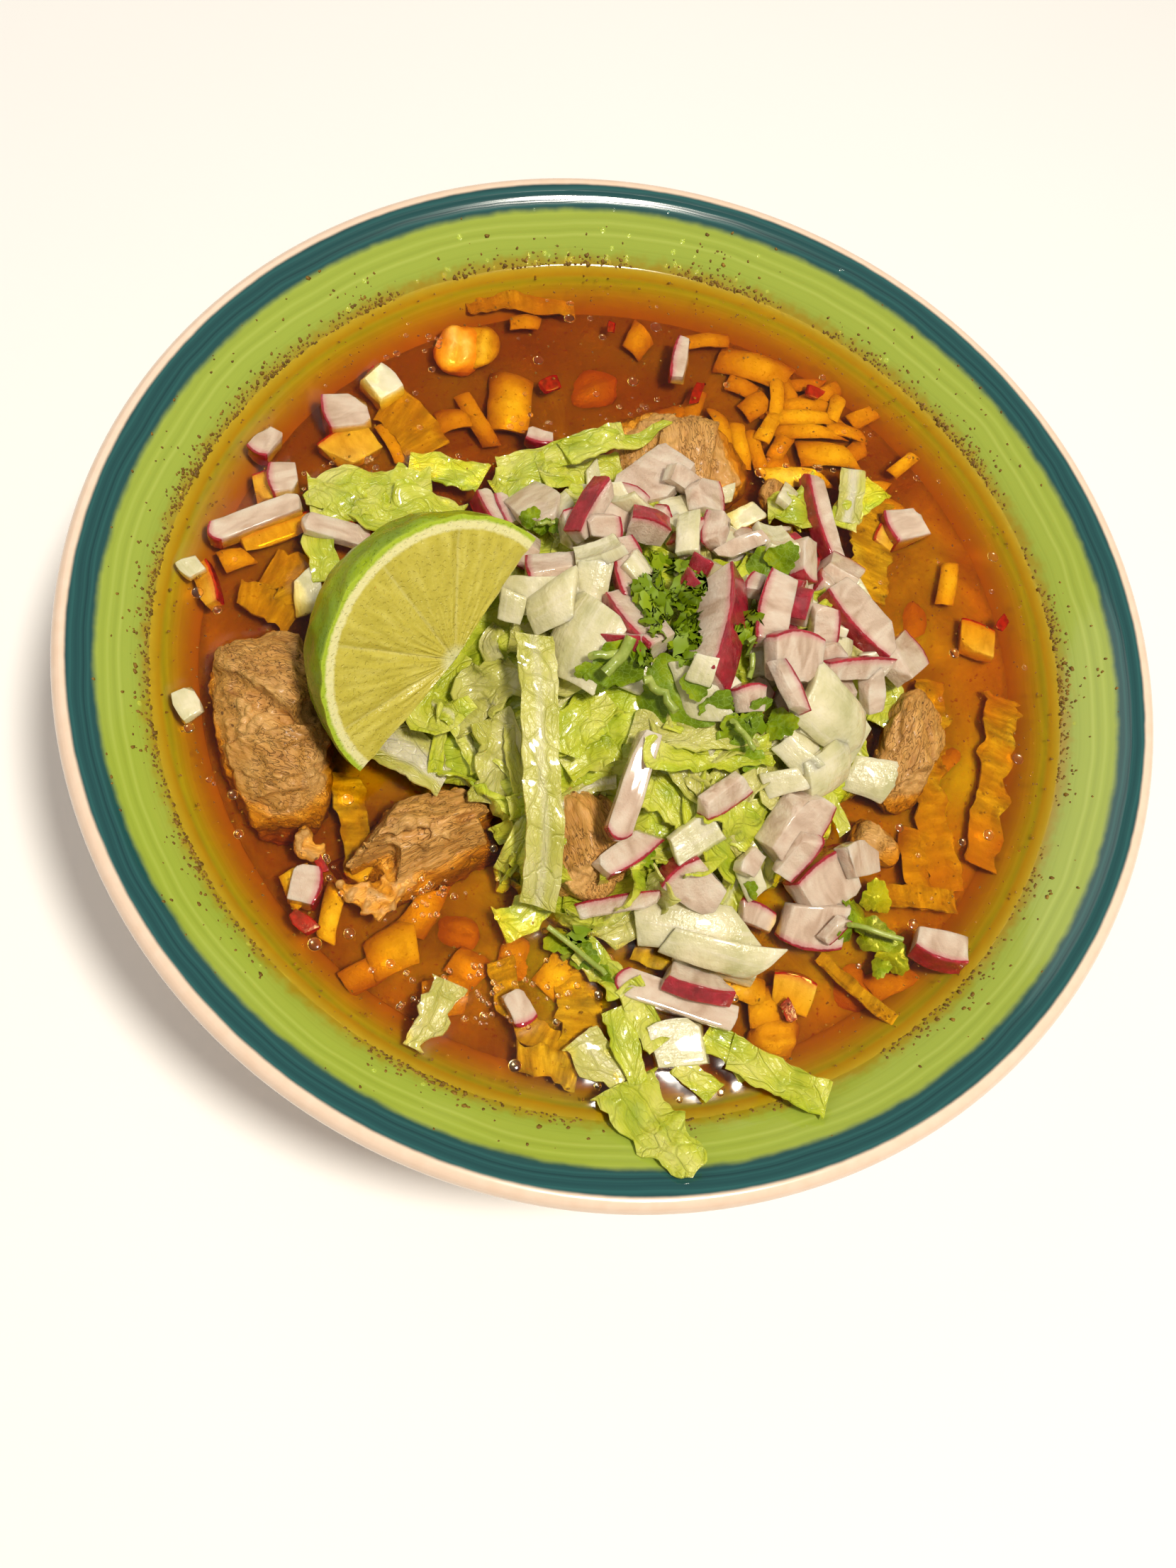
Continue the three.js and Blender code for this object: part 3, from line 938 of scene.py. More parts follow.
def limeMaterial():
    newMaterial("limeWedge", (0.25, (1.0, 0.9, 0.3), 0.003), Roughness=0.24, Coat_Weight=0.1,
                Coat_Roughness=0.05, Specular_IOR_Level=0.3)
    place = millimetres("lime")
    angle = work("ARCTAN2", axis(place, 1), axis(place, 0))
    radius = fromAxis(place)
    # vesicles run out from the core
    spokes = addNode("CombineXYZ", {0: times(angle, 12), 1: times(radius, 0.2)}).outputs[0]
    streaks = cloud(spokes, 1.0, 4.0, 0.55, 0.4)
    pulp = ramp(streaks, (0.3, (188, 175, 66)), (0.5, (196, 183, 74)), (0.7, (207, 195, 92)))
    ways = plus(times(angle, lime["segments"] / circle), lime["firstWall"])
    apart = work("ABSOLUTE", minus(work("FRACT", ways), 0.5))
    gapWidth = work("DIVIDE", 0.34, highest(radius, 1.5))
    wall = fade(minus(0.5, apart), 0.0, times(gapWidth, 2.0), 1.0, 0.0)
    pulp = blend(times(wall, 0.3), pulp, (220, 214, 144))
    pulp = blend(fade(radius, 1.2, 3.4, 0.85, 0.0), pulp, (222, 218, 160))
    depth = plus(stored("underPeel"), timesPlus(cloud(place, 0.8, 3.0), 0.7, -0.35))
    peel, pith = lime["peel"], lime["peel"] + lime["pith"]
    cut = blend(fade(depth, peel - 0.35, peel + 0.25), (168, 190, 50), (228, 222, 160))
    cut = blend(fade(depth, pith - 0.4, pith + 0.2), cut, pulp)
    green = ramp(cloud(place, 0.07, 3.0), (0.35, (108, 134, 0)), (0.55, (138, 164, 0)), (0.72, (168, 188, 4)))
    pores = fade(cloud(place, 1.5, 1.0), 0.60, 0.70)
    green = blend(times(pores, 0.25), green, (96, 124, 6))
    wet = times(cloud(place, 1.1, 3.0, 0.6), 0.8)
    rough = timesPlus(streaks, 0.16, timesPlus(pores, -0.4, wet))
    return paint(blend(stored("onCut"), green, cut), rough, 0.3, 0.9)


def makeLime():
    size, rings = lime["radius"], lime["rings"]
    bpy.ops.mesh.primitive_uv_sphere_add(segments=lime["sides"], ring_count=120, radius=size * mm)
    piece = newest("lime_quarter")
    bpy.ops.transform.resize(value=(1, 1, lime["depth"] / size))
    bpy.ops.object.transform_apply(location=True, rotation=True, scale=True)
    with editing(piece):
        bpy.ops.mesh.bisect(plane_co=(0, 0, -1e-5), plane_no=(0, 0, 1), clear_outer=True)
        bpy.ops.mesh.select_all(action="DESELECT")
        bpy.ops.mesh.select_non_manifold()
        for left in range(rings, 0, -1):
            share = (left - 1) / left
            bpy.ops.mesh.extrude_edges_move()
            if share > 0:
                bpy.ops.transform.resize(value=(share, share, 1))
            else:
                bpy.ops.mesh.merge(type="CENTER")
    half = radians(lime["sector"] / 2)
    cutBeyond(piece, [((0, 0, 0), (-sin(half), side * cos(half), 0)) for side in (-1, 1)])
    cleanMesh(piece, 2e-6)
    points = pointsOf(piece) / mm
    radius = np.hypot(points[:, 0], points[:, 1])
    angle = np.arctan2(points[:, 1], points[:, 0])
    underPeel = size - np.sqrt(radius ** 2 + (points[:, 2] * size / lime["depth"]) ** 2)
    keep(piece, "lime", points)
    keep(piece, "underPeel", underPeel)
    onFace = points[:, 2] > -lime["cutBand"]
    keep(piece, "onCut", (underPeel > lime["skin"]) | onFace)
    pulpEdge = size - lime["peel"] - lime["pith"]
    for i in np.nonzero(onFace & (radius < size - 0.3))[0]:
        part = angle[i] * lime["segments"] / circle + lime["firstWall"]
        apart = abs(part - floor(part) - 0.5)
        inPulp = clip((pulpEdge - radius[i]) / 1.2) * min(1, radius[i] / 4)
        bulge = (1 - (2 * apart) ** 6) * 0.55 - 0.35
        ripple = 0.3 * wobble((angle[i] * 14, radius[i] * 0.2, 2))
        ripple += 0.07 * wobble((angle[i] * 46, radius[i] * 0.6, 9))
        points[i][2] += inPulp * (bulge + ripple)
    bumps = [wobble(point, 0.24) * 0.5 + wobble(point, 1.1) * 0.06 for point in points]
    points += (np.array(bumps) * (underPeel < lime["skin"]))[:, None] * points / size
    putPoints(piece, points * mm)
    piece.data.transform(limePlace())
    smoothShade(piece, 50)
    finish(piece, limeMaterial(), "lime", "lime_wedge")
    print("lime made")


makeLime()


# things cut with a knife: the skin side is +Y, length along X

cutting = {"cuts": 5, "bevel": 0.2, "waves": (3.5, 0.7), "slips": 3, "slipDepth": (0.1, 0.3)}


def cutDie(name, size, wedge=0.0, slant=0.1, bow=0.16, skin=True, cuts=cutting["cuts"]):
    bpy.ops.mesh.primitive_cube_add(size=1)
    piece = newest(name)
    with editing(piece):
        bpy.ops.mesh.subdivide(number_cuts=cuts)
    points = pointsOf(piece)
    outward = points[:, 1] + 0.5
    across = 1 - (2 * points[:, 0]) ** 2
    points[:, 0] *= 1 - 0.12 * (1 - outward)
    points[:, 0] += slant * points[:, 1] + 0.25 * slant * points[:, 2]
    points[:, 2] *= 1 - wedge * (1 - outward)
    points[:, 1] += bow * (across - 0.6) * outward
    points *= np.array(size) * mm
    putPoints(piece, points)
    keep(piece, "underSkin", (1 - outward) * size[1] if skin else np.full(len(points), 40.0))
    keep(piece, "cut", points / mm + uniform(0, 90))
    # where the knife slipped: a corner or an edge is gone
    planes = []
    for number in range(cutting["slips"]):
        turn = uniform(0, circle)
        away = Vector((cos(turn), -abs(sin(turn)) if skin else sin(turn), uniform(-0.2, 0.7)))
        lost = uniform(*cutting["slipDepth"]) * min(size[0], size[1]) * mm
        planes.append(planeAt(away, max(points @ np.array(away)) - lost))
    cutBeyond(piece, planes)
    bevelEdges(piece, cutting["bevel"], 42)
    roughen(piece, *cutting["waves"])
    smoothShade(piece, 48)
    return piece


def bevelEdges(piece, width, angle=30):
    modify(piece, "BEVEL", width=width * mm, segments=2, limit_method="ANGLE", angle_limit=radians(angle))


def radishMaterial():
    softness = 0.5, (1.0, 0.85, 0.85), 0.0025
    newMaterial("cutRadish", softness, Roughness=0.24, Coat_Weight=0.8, Coat_Roughness=0.06)
    place = millimetres("cut")
    depth = plus(stored("underSkin"), timesPlus(cloud(place, 0.9, 3.0), 0.5, -0.25))
    veins = cloud(millimetres("cut", (0.8, 0.3, 0.8)), 0.5, 2.0, 0.5, 0.6)
    flesh = ramp(veins, (0.28, (206, 174, 148)), (0.5, (232, 206, 182)), (0.72, (246, 228, 206)))
    colour = blend(fade(depth, 0.2, 1.7, 0.6, 0.0), flesh, (214, 104, 126))
    reds = (0.3, (138, 6, 30)), (0.55, (176, 14, 42)), (0.75, (208, 36, 62))
    colour = blend(fade(depth, 0.3, 0.6, 1.0, 0.0), colour, ramp(cloud(place, 0.5, 4.0), *reds))
    return paint(colour, cloud(place, 1.5, 5.0, 0.75), 0.5)


def onionMaterial():
    softness = 0.5, (1.0, 0.95, 0.7), 0.003
    newMaterial("whiteOnion", softness, Roughness=0.18, Coat_Weight=0.9, Coat_Roughness=0.05)
    place = millimetres("cut")
    ridges = cloud(millimetres("cut", (0.05, 0.9, 0.4)), 1.0, 4.0, 0.6, 0.4)
    whites = (0.3, (196, 191, 140)), (0.5, (219, 211, 168)), (0.7, (238, 228, 194))
    lines = fade(ridges, 0.5, 0.72, 0.0, 0.35)
    colour = blend(lines, ramp(cloud(place, 0.16, 3.0), *whites), (238, 227, 208))
    return paint(colour, timesPlus(ridges, 0.5, cloud(place, 0.8, 4.0)), 0.45, 0.8)


radishFlesh = radishMaterial()
onionFlesh = onionMaterial()


# The slab's own ways and sizes, read off its node: its caps are square to every other face.
def slabOf(node):
    mesh = nodes[node].data
    faces = {}
    for face in mesh.polygons:
        key = tuple(round(c, 2) for c in face.normal)
        faces[key] = faces.get(key, 0) + face.area
    normals = [(Vector(key).normalized(), area) for key, area in faces.items()]

    def isCap(way):
        return all(abs(way.dot(other)) < 0.04 or abs(way.dot(other)) > 0.985 for other, area in normals)

    up = max((way for way, area in normals if isCap(way)), key=lambda way: way.z)
    back = max((pair for pair in normals if abs(pair[0].dot(up)) < 0.1), key=lambda pair: pair[1])[0]
    skinWay = squareTo(up, -back)
    ways = Matrix((skinWay.cross(up), skinWay, up))
    points = np.array([ways @ vertex.co for vertex in mesh.vertices])
    low, high = points.min(0), points.max(0)
    return ways, (low + high) / 2, (high - low) / mm


# A die turned by quarters until its skin looks the right way, then rolled about its length.
def layDie(name, size, quarter, slant, roll, wedge, skin, spot):
    size = (size[1], size[0], size[2]) if quarter % 2 else tuple(size)
    piece = cutDie(name, size, wedge, uniform(-slant, slant), 0.16 if size[0] > size[1] else 0.08, skin)
    piece.data.transform(spot @ turnBy(radians(90 * quarter)) @ turnBy(radians(roll), "X"))
    return piece


# Toppings that are nodes: which way the skin looks, in degrees, a roll about the length, and how much
# the piece thins away from its skin. A skin of None is flesh all round.
toppings = {
    "radish_wedge_left": (208, 20, 0.35),
    "radish_wedge_middle": (-14, 48, 0.5),
    "radish_edge_right": (30, 0, 0.2),
    "radish_block_front": (-30, -12, 0.1),
    "radish_slab_front": (122, 0, 0.2),
    "radish_die_front": (132, 0, 0.15),
    "radish_die_left": (190, 0, 0.1),
    "radish_die_back": (12, 0, 0.0),
    "radish_arc_back": (104, 25, 0.3),
    "onion_plate_left": (None, 0, 0.2),
    "onion_plate_right": (None, 0, 0.2),
    "radish_stick_middle": (254, 0, 0.0),
    "radish_float_back_left": (195, 0, 0.1),
    "radish_float_left_tip": (240, 0, 0.1),
    "radish_float_left": (190, 0, 0.1),
    "radish_stick_left": (207, 0, 0.0),
    "onion_float_left_low": (None, 0, 0.1),
    "onion_float_left_high": (None, 0, 0.1),
    "onion_float_back_left": (None, 0, 0.1),
    "radish_float_low_left": (-10, 0, 0.1),
    "radish_stick_back": (168, 0, 0.0),
    "radish_float_back": (260, 0, 0.1),
    "radish_float_right": (200, 0, 0.1),
    "radish_float_front_right": (252, 20, 0.2),
    "radish_stick_front": (160, 0, 0.1),
    "onion_die_front": (None, 0, 0.1),
    "onion_plate_front": (None, 0, 0.2),
    "radish_sliver_front": (300, 0, 0.1),
}


def makeTopping(node, skinAngle, roll, wedge):
    ways, middle, size = slabOf(node)
    quarter = 0
    if skinAngle is not None:
        choices = [ways[1], -ways[0], -ways[1], ways[0]]
        quarter = max(range(4), key=lambda k: choices[k].dot(wayOf(skinAngle)))
    # the broth stands over the lower part of what floats
    soaked = 0.08 * size[2] if "float" in node or node.endswith("stick_left") else 0
    middle = ways.transposed() @ (Vector(middle) - Vector((0, 0, soaked / 2 * mm)))
    spot = Matrix.Translation(middle) @ ways.transposed().to_4x4()
    size[2] -= soaked
    piece = layDie(node + "_cut", size, quarter, 0.12, roll, wedge, skinAngle is not None, spot)
    kind = node.split("_")[0]
    finish(piece, radishFlesh if kind == "radish" else onionFlesh, kind, node)


def hominyMaterial():
    softness = 0.25, (1.0, 0.6, 0.2), 0.003
    newMaterial("hominy", softness, Roughness=0.4, Coat_Weight=0.3, Coat_Roughness=0.1)
    place = millimetres()
    corn = (0.3, (222, 146, 52)), (0.55, (236, 176, 90)), (0.75, (246, 206, 140))
    return paint(ramp(cloud(place, 0.3, 4.0), *corn), cloud(place, 1.2, 4.0), 0.3, 0.6)


# A puffed kernel: a pebble with a dent at its tip and a split along it.
def kernel(name, size, seed):
    bpy.ops.mesh.primitive_uv_sphere_add(segments=22, ring_count=14, radius=0.5)
    piece = newest(name)
    points = pointsOf(piece)
    for i, (x, y, z) in enumerate(points):
        swell = 1 + 0.28 * noise.noise(Vector((x, y, z)) * 2.2 + Vector((seed, 0, 0)))
        split = 0.22 * exp(-((y / 0.1) ** 2)) * max(0, z)
        points[i] = (x * swell - 0.25 * max(0, x - 0.3), y * swell, (z - split) * swell)
    putPoints(piece, points * np.array(size) * mm)
    smoothShade(piece, 70)
    return piece


def makeToppings():
    for node, settings in toppings.items():
        makeTopping(node, *settings)
    node = "hominy_float_back_left"
    low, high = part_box(node)
    piece = kernel(node + "_kernel", (12.5, 9, 8), 3.0)
    spot = Matrix.Translation((low + high) / 2 - Vector((0, 0, 2 * mm)))
    piece.data.transform(spot @ turnBy(radians(78)))
    finish(piece, hominyMaterial(), "hominy", node)
    print("toppings made")


makeToppings()


# the heap's core, with the shreds as relief on it

heap = {
    "voxel": 1.0,
    "shrink": 3.6,
    "shreds": (2.6, 2.2),
    "folds": (7.0, 2.4),
    # hollows where pork shows: middle, reach and depth in mm
    "hollows": [
        ((-9, -36), (8, 12), 6.5), ((50, -19), (8, 12), 5), ((45, -36), (7, 6), 5),
        ((-36, -37), (11, 8), 4),
    ],
}


def leafMaterial(name, dark, middle, pale, rib):
    softness = 0.5, (0.8, 1.0, 0.3), 0.003
    newMaterial(name, softness, Roughness=0.3, Coat_Weight=0.6, Coat_Roughness=0.07)
    place = millimetres("leaf")
    soft = cloud(millimetres("leaf", (0.10, 0.16, 0.3)), 1.0, 3.0)
    green = ramp(soft, (0.32, dark), (0.5, middle), (0.68, pale))
    drift = addNode("TexNoise", {"Vector": place, "Scale": 0.12, "Detail": 2.0}).outputs["Color"]
    shift = addNode("VectorMath", {0: drift, 3: 1.4}, operation="SCALE").outputs[0]
    net = millimetres("leaf", (0.16, 0.30, 0))
    bent = addNode("VectorMath", {0: net, 1: shift}, operation="ADD").outputs[0]
    veins = highest(cracks(bent, 1.0, 0.07, 1.0), cracks(bent, 3.1, 0.12, 0.35))
    colour = blend(times(veins, 0.3), green, dark)
    colour = blend(fade(axis(place, 2), 0.3, 0.8), colour, rib)
    crease = cloud(millimetres("leaf", (0.5, 0.9, 1)), 1.0, 4.0)
    return paint(colour, timesPlus(veins, -0.5, crease), 0.45, 0.9)


lettuce = [
    leafMaterial("lettuceLeaf", (158, 178, 30), (202, 212, 58), (230, 232, 110), (236, 236, 170)),
    leafMaterial("lettuceHeart", (172, 172, 66), (204, 202, 102), (220, 216, 142), (226, 222, 174)),
]


def makeCore():
    piece = copyOfNode("salad_heap", "salad_core")
    modify(piece, "REMESH", mode="VOXEL", voxel_size=heap["voxel"] * mm, use_smooth_shade=True)
    modify(piece, "DISPLACE", strength=-heap["shrink"] * mm, mid_level=0)
    size, depth = heap["shreds"]
    roughen(piece, *heap["folds"])
    roughen(piece, size, depth, (3.5, 1, 1), 35)
    roughen(piece, size, depth * 0.6, (1, 3, 1), -20)
    points = pointsOf(piece)
    for middle, reach, depth in heap["hollows"]:
        away = ((points[:, :2] / mm - middle) / reach)
        above = np.clip((points[:, 2] - brothTop) / (4 * mm), 0, 1)
        points[:, 2] -= depth * mm * np.exp(-(away ** 2).sum(1) ** 2) * above
    putPoints(piece, points)
    keep(piece, "leaf", points / mm * (1, 1, 0))
    smoothShade(piece)
    toppingsSoFar = floating()
    finish(piece, lettuce[0], "lettuce", "salad_heap")
    readTops(piece)
    for node in nodes:
        if node.split("_")[0] in ("salad", "radish", "onion", "pork"):
            readTops(nodes[node], outline)
    for piece in toppingsSoFar:
        readTops(piece, shows=not piece.name.startswith("pork_back"))
    print("core made")


makeCore()


# lettuce: a ribbon cut from a leaf, that follows a route of (x, y, height above the broth)

leafCut = {"thick": 0.4, "alongStep": 0.9, "across": 9, "pucker": 0.35, "settle": 0.7, "soaked": 1.7}


def ribbon(name, route, width, taper=1.0, ruffle=1.0, curl=0.0, ragged=0.25, rib=0.0, seed=0.0):
    points = [Vector(p) for p in smoothLine(route, 24)]
    length = sum((b - a).length for a, b in zip(points, points[1:]))
    steps = max(6, int(length / leafCut["alongStep"]))
    bpy.ops.mesh.primitive_grid_add(x_subdivisions=steps, y_subdivisions=leafCut["across"], size=1)
    piece = newest(name)
    shaped, leaf = [], []
    for u, v, w in pointsOf(piece):
        share, across = u + 0.5, 2 * v
        place = share * (len(points) - 1)
        k = min(int(place), len(points) - 2)
        middle = points[k].lerp(points[k + 1], place - k)
        along = (points[k + 1] - points[k]).normalized()
        side = Vector((0, 0, 1)).cross(along).normalized()
        up = along.cross(side)
        tear = 1 + ragged * wobble((share * length * 0.32, 3 * (across > 0), seed))
        tear += 0.5 * ragged * wobble((share * length * 1.1, 5 * (across > 0), seed))
        half = width / 2 * (1 + (taper - 1) * share) * tear
        wave = wobble((share * length * 0.22, across * 0.9, seed + 8))
        fine = wobble((share * length * 0.6, across * 1.6, seed + 18))
        lift = ruffle * (0.35 + abs(across) ** 1.5) * (1.5 * wave + 0.6 * fine) + curl * across * across
        lift += leafCut["pucker"] * wobble((share * length * 0.45, across * half * 0.45, seed + 4))
        end = 0.12 * width * across * sin(seed * 3)
        shaped.append(middle + side * across * half + up * lift + along * end)
        ribbed = max(0, rib * (1.15 - abs(across) * 1.4))
        leaf.append((share * length + 31 * sin(seed), across * half + 17 * seed, ribbed))
    putPoints(piece, np.array(shaped) * mm + np.array((0, 0, brothTop)))
    keep(piece, "leaf", leaf)
    modify(piece, "SOLIDIFY", thickness=leafCut["thick"] * mm, offset=0)
    smoothShade(piece)
    return piece


# Leaves are given as a route, a width, 1 where they are from the pale heart, and as far as they differ from
# the plain ribbon: taper, ruffle, curl, raggedness and rib. These are nodes, on the route of their solid.
lettuceNodes = {
    "lettuce_long_strip":
        ([(-20, -7, 19.8), (-19, -16, 18.6), (-18.6, -28.3, 16.2), (-17.4, -40, 11.8),
          (-18, -50, 4.6)], 6.4, 1, 1, 0.25, 0.3, 0.12, 0.55),
    "lettuce_rim_leaf":
        ([(-3.5, -79, 0.6), (-0.6, -85.2, 4), (2.8, -89.4, 7.6),
          (6.4, -93.2, 10.4)], 12, 0, 0.4, 0.7, 0, 0.55),
    "lettuce_curl":
        ([(15, -74, 0.6), (20.5, -77.4, 1.6), (25, -80, 3), (29.8, -83, 5.8)], 6, 0, 1, 0.7, 0.8, 0.3),
    "lettuce_front_leaf":
        ([(-4.4, -66.6, 1.2), (-3.2, -73, 1.6), (-1, -79.4, 1)], 6, 0, 0.5, 0.5, 0, 0.3),
    "lettuce_back_left":
        ([(-59, 27, 0.9), (-51, 28.6, 1.8), (-44, 29, 1.8), (-36.5, 30, 0.9)], 10.5, 0, 1, 0.9, 0, 0.4),
    "lettuce_left_flap":
        ([(-57.2, 22.4, 1), (-56.4, 16, 1.6), (-54.6, 10.6, 1)], 5.5, 0, 1, 0.5, 0, 0.3),
    "lettuce_back":
        ([(-24, 35.4, 1), (-14, 38.6, 2.6), (-5, 41.4, 5), (-0.6, 43.2, 6)], 6, 0, 0.6, 0.5, 0, 0.2, 0.2),
}


def makeLettuceNodes():
    for number, (node, (route, width, heart, *shape)) in enumerate(lettuceNodes.items()):
        piece = ribbon(node + "_leaf", route, width, *shape, seed=1.7 * number + 0.4)
        finish(piece, lettuce[heart], "lettuce", node)
        if node != "lettuce_long_strip":
            readTops(piece)


makeLettuceNodes()


# Shreds laid over the heap: each follows what lies under it.
shreds = {
    "count": 150,
    "length": (10, 26),
    "width": (2.2, 5.2),
    "middle": (2, -10),
    "reach": (45, 40),
}


def layRoute(start, turn, length, bend, lift):
    c, s = cos(radians(turn)), sin(radians(turn))
    route = []
    for i in range(6):
        share = i / 5 - 0.5
        off = bend * length * (share * share)
        x, y = start[0] + length * share * c - off * s, start[1] + length * share * s + off * c
        route.append([x, y, heightAt(x, y)])

    def near(i):
        return [route[j][2] for j in (max(i - 1, 0), i, min(i + 1, 5))]

    for i, point in enumerate(route):
        point[2] = 0.5 * max(near(i)) + 0.5 * sum(near(i)) / 3 + lift
    highs = [max(outline[cellOf(x, y)], 0.4) + 0.4 for x, y, z in route]
    return [(x, y, min(sum(near(i)) / 3, highs[i])) for i, (x, y, z) in enumerate(route)]


def coverRoute(route, width, thick):
    for x, y, z in smoothLine(route, 40):
        for a in np.linspace(-width / 2, width / 2, 7):
            for b in (-0.5, 0.5):
                raiseTop(x + a, y + a * b, min(z + thick, heightAt(x + a, y + a * b) + 2.2))


def finishGroups(groups, names, materials=lettuce):
    for group, name, material in zip(groups, names, materials):
        finishAll(group, name, material, "lettuce")
    print(names[0], "made")


def makeShreds():
    groups = [], []
    for number in range(shreds["count"]):
        x, y = inDisc(shreds["middle"], shreds["reach"])
        length = uniform(*shreds["length"])
        width = uniform(*shreds["width"])
        if heightAt(x, y) < 0.5 or (x < -22 and y > -14):
            continue
        route = layRoute((x, y), uniform(0, 180), length, uniform(-0.5, 0.5), uniform(0.0, 0.6))
        hidden = sum(shown[cellOf(x, y)] for x, y, z in smoothLine(route, 20))
        if hidden > 2 or (number % 2 and x > 0 and y > -8):
            continue
        shape = 0.8, 0.9, uniform(-0.6, 0.9), 0.3, random.choice((0, 0, 0.6)), number * 0.37
        groups[number % 3 == 0].append(ribbon("shred", route, width, *shape))
        coverRoute(route, width * 0.7, 0.3)
    finishGroups(groups, ("lettuce_shreds", "lettuce_heart_shreds"))


makeShreds()


# Leaves that show: places as the camera sees them on the broth's plane, with a rise above the pile.
leaves = [
    ([(-29, -2, 1), (-33, -8, 3.2), (-36, -13, 2.2), (-32, -17, 1)], 9, 0, 1, 1.6, 1.2, 0.4),
    ([(-20, -6, 1), (-25, -9, 2.4), (-29, -12, 2.2), (-27, -16, 1.4)], 8.5, 1, 1, 1.9, 0.8, 0.5),
    ([(-26, -15, 1.2), (-24, -20, 2.2), (-24.5, -26, 1.8), (-25.5, -31, 1.4)], 7.5, 1, 1, 1.2, 0.9, 0.3),
    ([(-16, -7, 0.8), (-12, -8, 1.8), (-9, -6, 1.6)], 4.5, 1, 1, 1.2),
    ([(-4, -10, 1), (-8, -13, 2.2), (-11, -17, 2), (-13, -21, 1)], 7.5, 0, 1, 1.2, 1.4, 0.3),
    ([(-22, 1, 0.8), (-17, 0, 1.2), (-15, -6, 1)], 6, 1),
    ([(0, -16, 1), (8, -16.5, 1.4), (16, -16, 1.4), (23, -15.5, 1)], 6, 1, 1, 1, 0.6),
    ([(2, -21, 1), (10, -22, 1.6), (18, -21, 1.2), (26, -19.5, 1)], 5, 0, 1, 1.3, 0.6, 0.4),
    ([(4, -24, 1), (9, -29, 2), (14, -35, 1.6), (19, -42, 1)], 11, 0, 0.6, 1.3, 0, 0.35),
    ([(13, -29, 1), (18, -32, 1.8), (22, -38, 1.4), (22, -45, 0.8)], 8, 0, 0.6, 1.4, 0, 0.4),
    ([(2, -35, 0.8), (7, -39, 1.8), (13, -43, 1.2)], 8, 0, 1, 1.4, 1.2, 0.3),
    ([(-3, -19, 0.8), (-7, -21, 1.4), (-12, -23, 1)], 5, 0, 1, 1.2, 0, 0.4),
    ([(6, -45, 0.8), (0, -50, 1.2), (-6, -55, 0.8)], 7, 1, 0.7, 1.2, 0, 0.5),
    ([(22, -14, 0.8), (27, -16, 1.4), (32, -15, 1)], 4.5, 0, 1, 1.2, 0, 0.4),
    ([(24, -22, 0.8), (27, -27, 1.2), (33, -30, 1)], 7, 1, 1, 1.2, 0, 0.4),
    ([(35, -25, 1), (37, -30, 1.3), (39, -35, 1)], 2.6, 0, 1, 0.5),
    ([(47, -4, 1), (50, -8, 1.6), (48, -14, 1)], 6, 0, 1, 0.9, 0, 0.3),
    ([(33, 29, 0.8), (36, 33, 2), (39, 38, 1.4)], 6, 0, 0.4, 1.4, 0, 0.5),
    ([(29, 31, 0.8), (33, 31, 1.4), (37, 30, 1)], 6, 0, 1, 1.6, 0, 0.4),
    ([(45, 29, 0.6), (46.5, 35, 1.2), (47.5, 41, 0.8)], 5, 1, 1, 0.6, 0, 0.25, 0.8),
    ([(-24, 30, 0.8), (-20, 34, 1.8), (-15, 37, 1.2)], 8, 0, 1, 1.8, 0, 0.5),
    ([(-16, 34, 1), (-8, 36, 1.4), (0, 38, 1.4)], 6, 0, 1, 0.7, 0, 0.25, 0.4),
    ([(-11, 40, 1.2), (-4, 41.5, 1.8), (3, 44, 2), (9.5, 49, 1.6)], 6, 0, 0.25, 0.6),
    ([(-50, 29, 0.8), (-45, 25, 1.6), (-38, 27, 1.6), (-32, 24, 0.8)], 8, 0, 1, 1.6, 0, 0.5),
    ([(-57, 31, 0.4), (-53, 27, 1.4), (-51, 23, 0.8)], 8, 0, 1, 1.3, 0, 0.4),
    ([(-21, -29, 0.4), (-21, -34, 1.2), (-25, -37, 1)], 3.4, 0, 1, 0.8),
    ([(-18, -31, 0.2), (-21, -38, 0.6), (-23.5, -43, 0.5)], 3.6, 0, 1, 0.8),
    ([(-3, -26, 1.2), (-8, -27.5, 1.4), (-13, -31, 1)], 2.6, 1, 1, 0.3, 0, 0.25, 0.8),
    ([(-10, -56, 0.4), (-6.5, -60, 0.9), (-3, -64, 0.6)], 5, 0, 1, 1, 0, 0.4),
    ([(-2, -62, 0.6), (0, -68, 1), (3, -73, 0.6)], 5, 0, 1, 0.7, 0, 0.3),
    ([(6, -76, 0.3), (9, -78.5, 0.9), (12, -81, 1.2)], 4, 0, 1, 0.8, 0, 0.4),
    ([(-24, 3, 0.8), (-26, 0, 1.6), (-25, -4, 1)], 3, 1, 1, 1.2),
]

# The pale rib that leans out from under the lime.
limeRib = {"route": [(-47, -18.5, 0.8), (-43, -21, 2.2), (-38, -24, 2.8), (-33.5, -27, 2.2)], "width": 9.5}


def seenRoute(seen):
    route = []
    for x, y, rise in seen:
        place = whereSeen(x, y)
        route.append((*place, max(heightAt(*place), 0) + rise * leafCut["settle"]))
    return route


def makeLeaves():
    groups = [], []
    for number, (seen, width, heart, *shape) in enumerate(leaves):
        route = seenRoute(seen)
        groups[heart].append(ribbon("leaf", route, width, *shape, seed=0.61 * number + 5))
        coverRoute(route, width * 0.6, 0.4)
    groups[1].append(ribbon("leaf", limeRib["route"], limeRib["width"], 0.8, 0.4, 0.8, 0.2, 1.0, 3.3))
    coverRoute(limeRib["route"], limeRib["width"], 0.4)
    finishGroups(groups, ("lettuce_leaves", "lettuce_heart_leaves"))


makeLeaves()


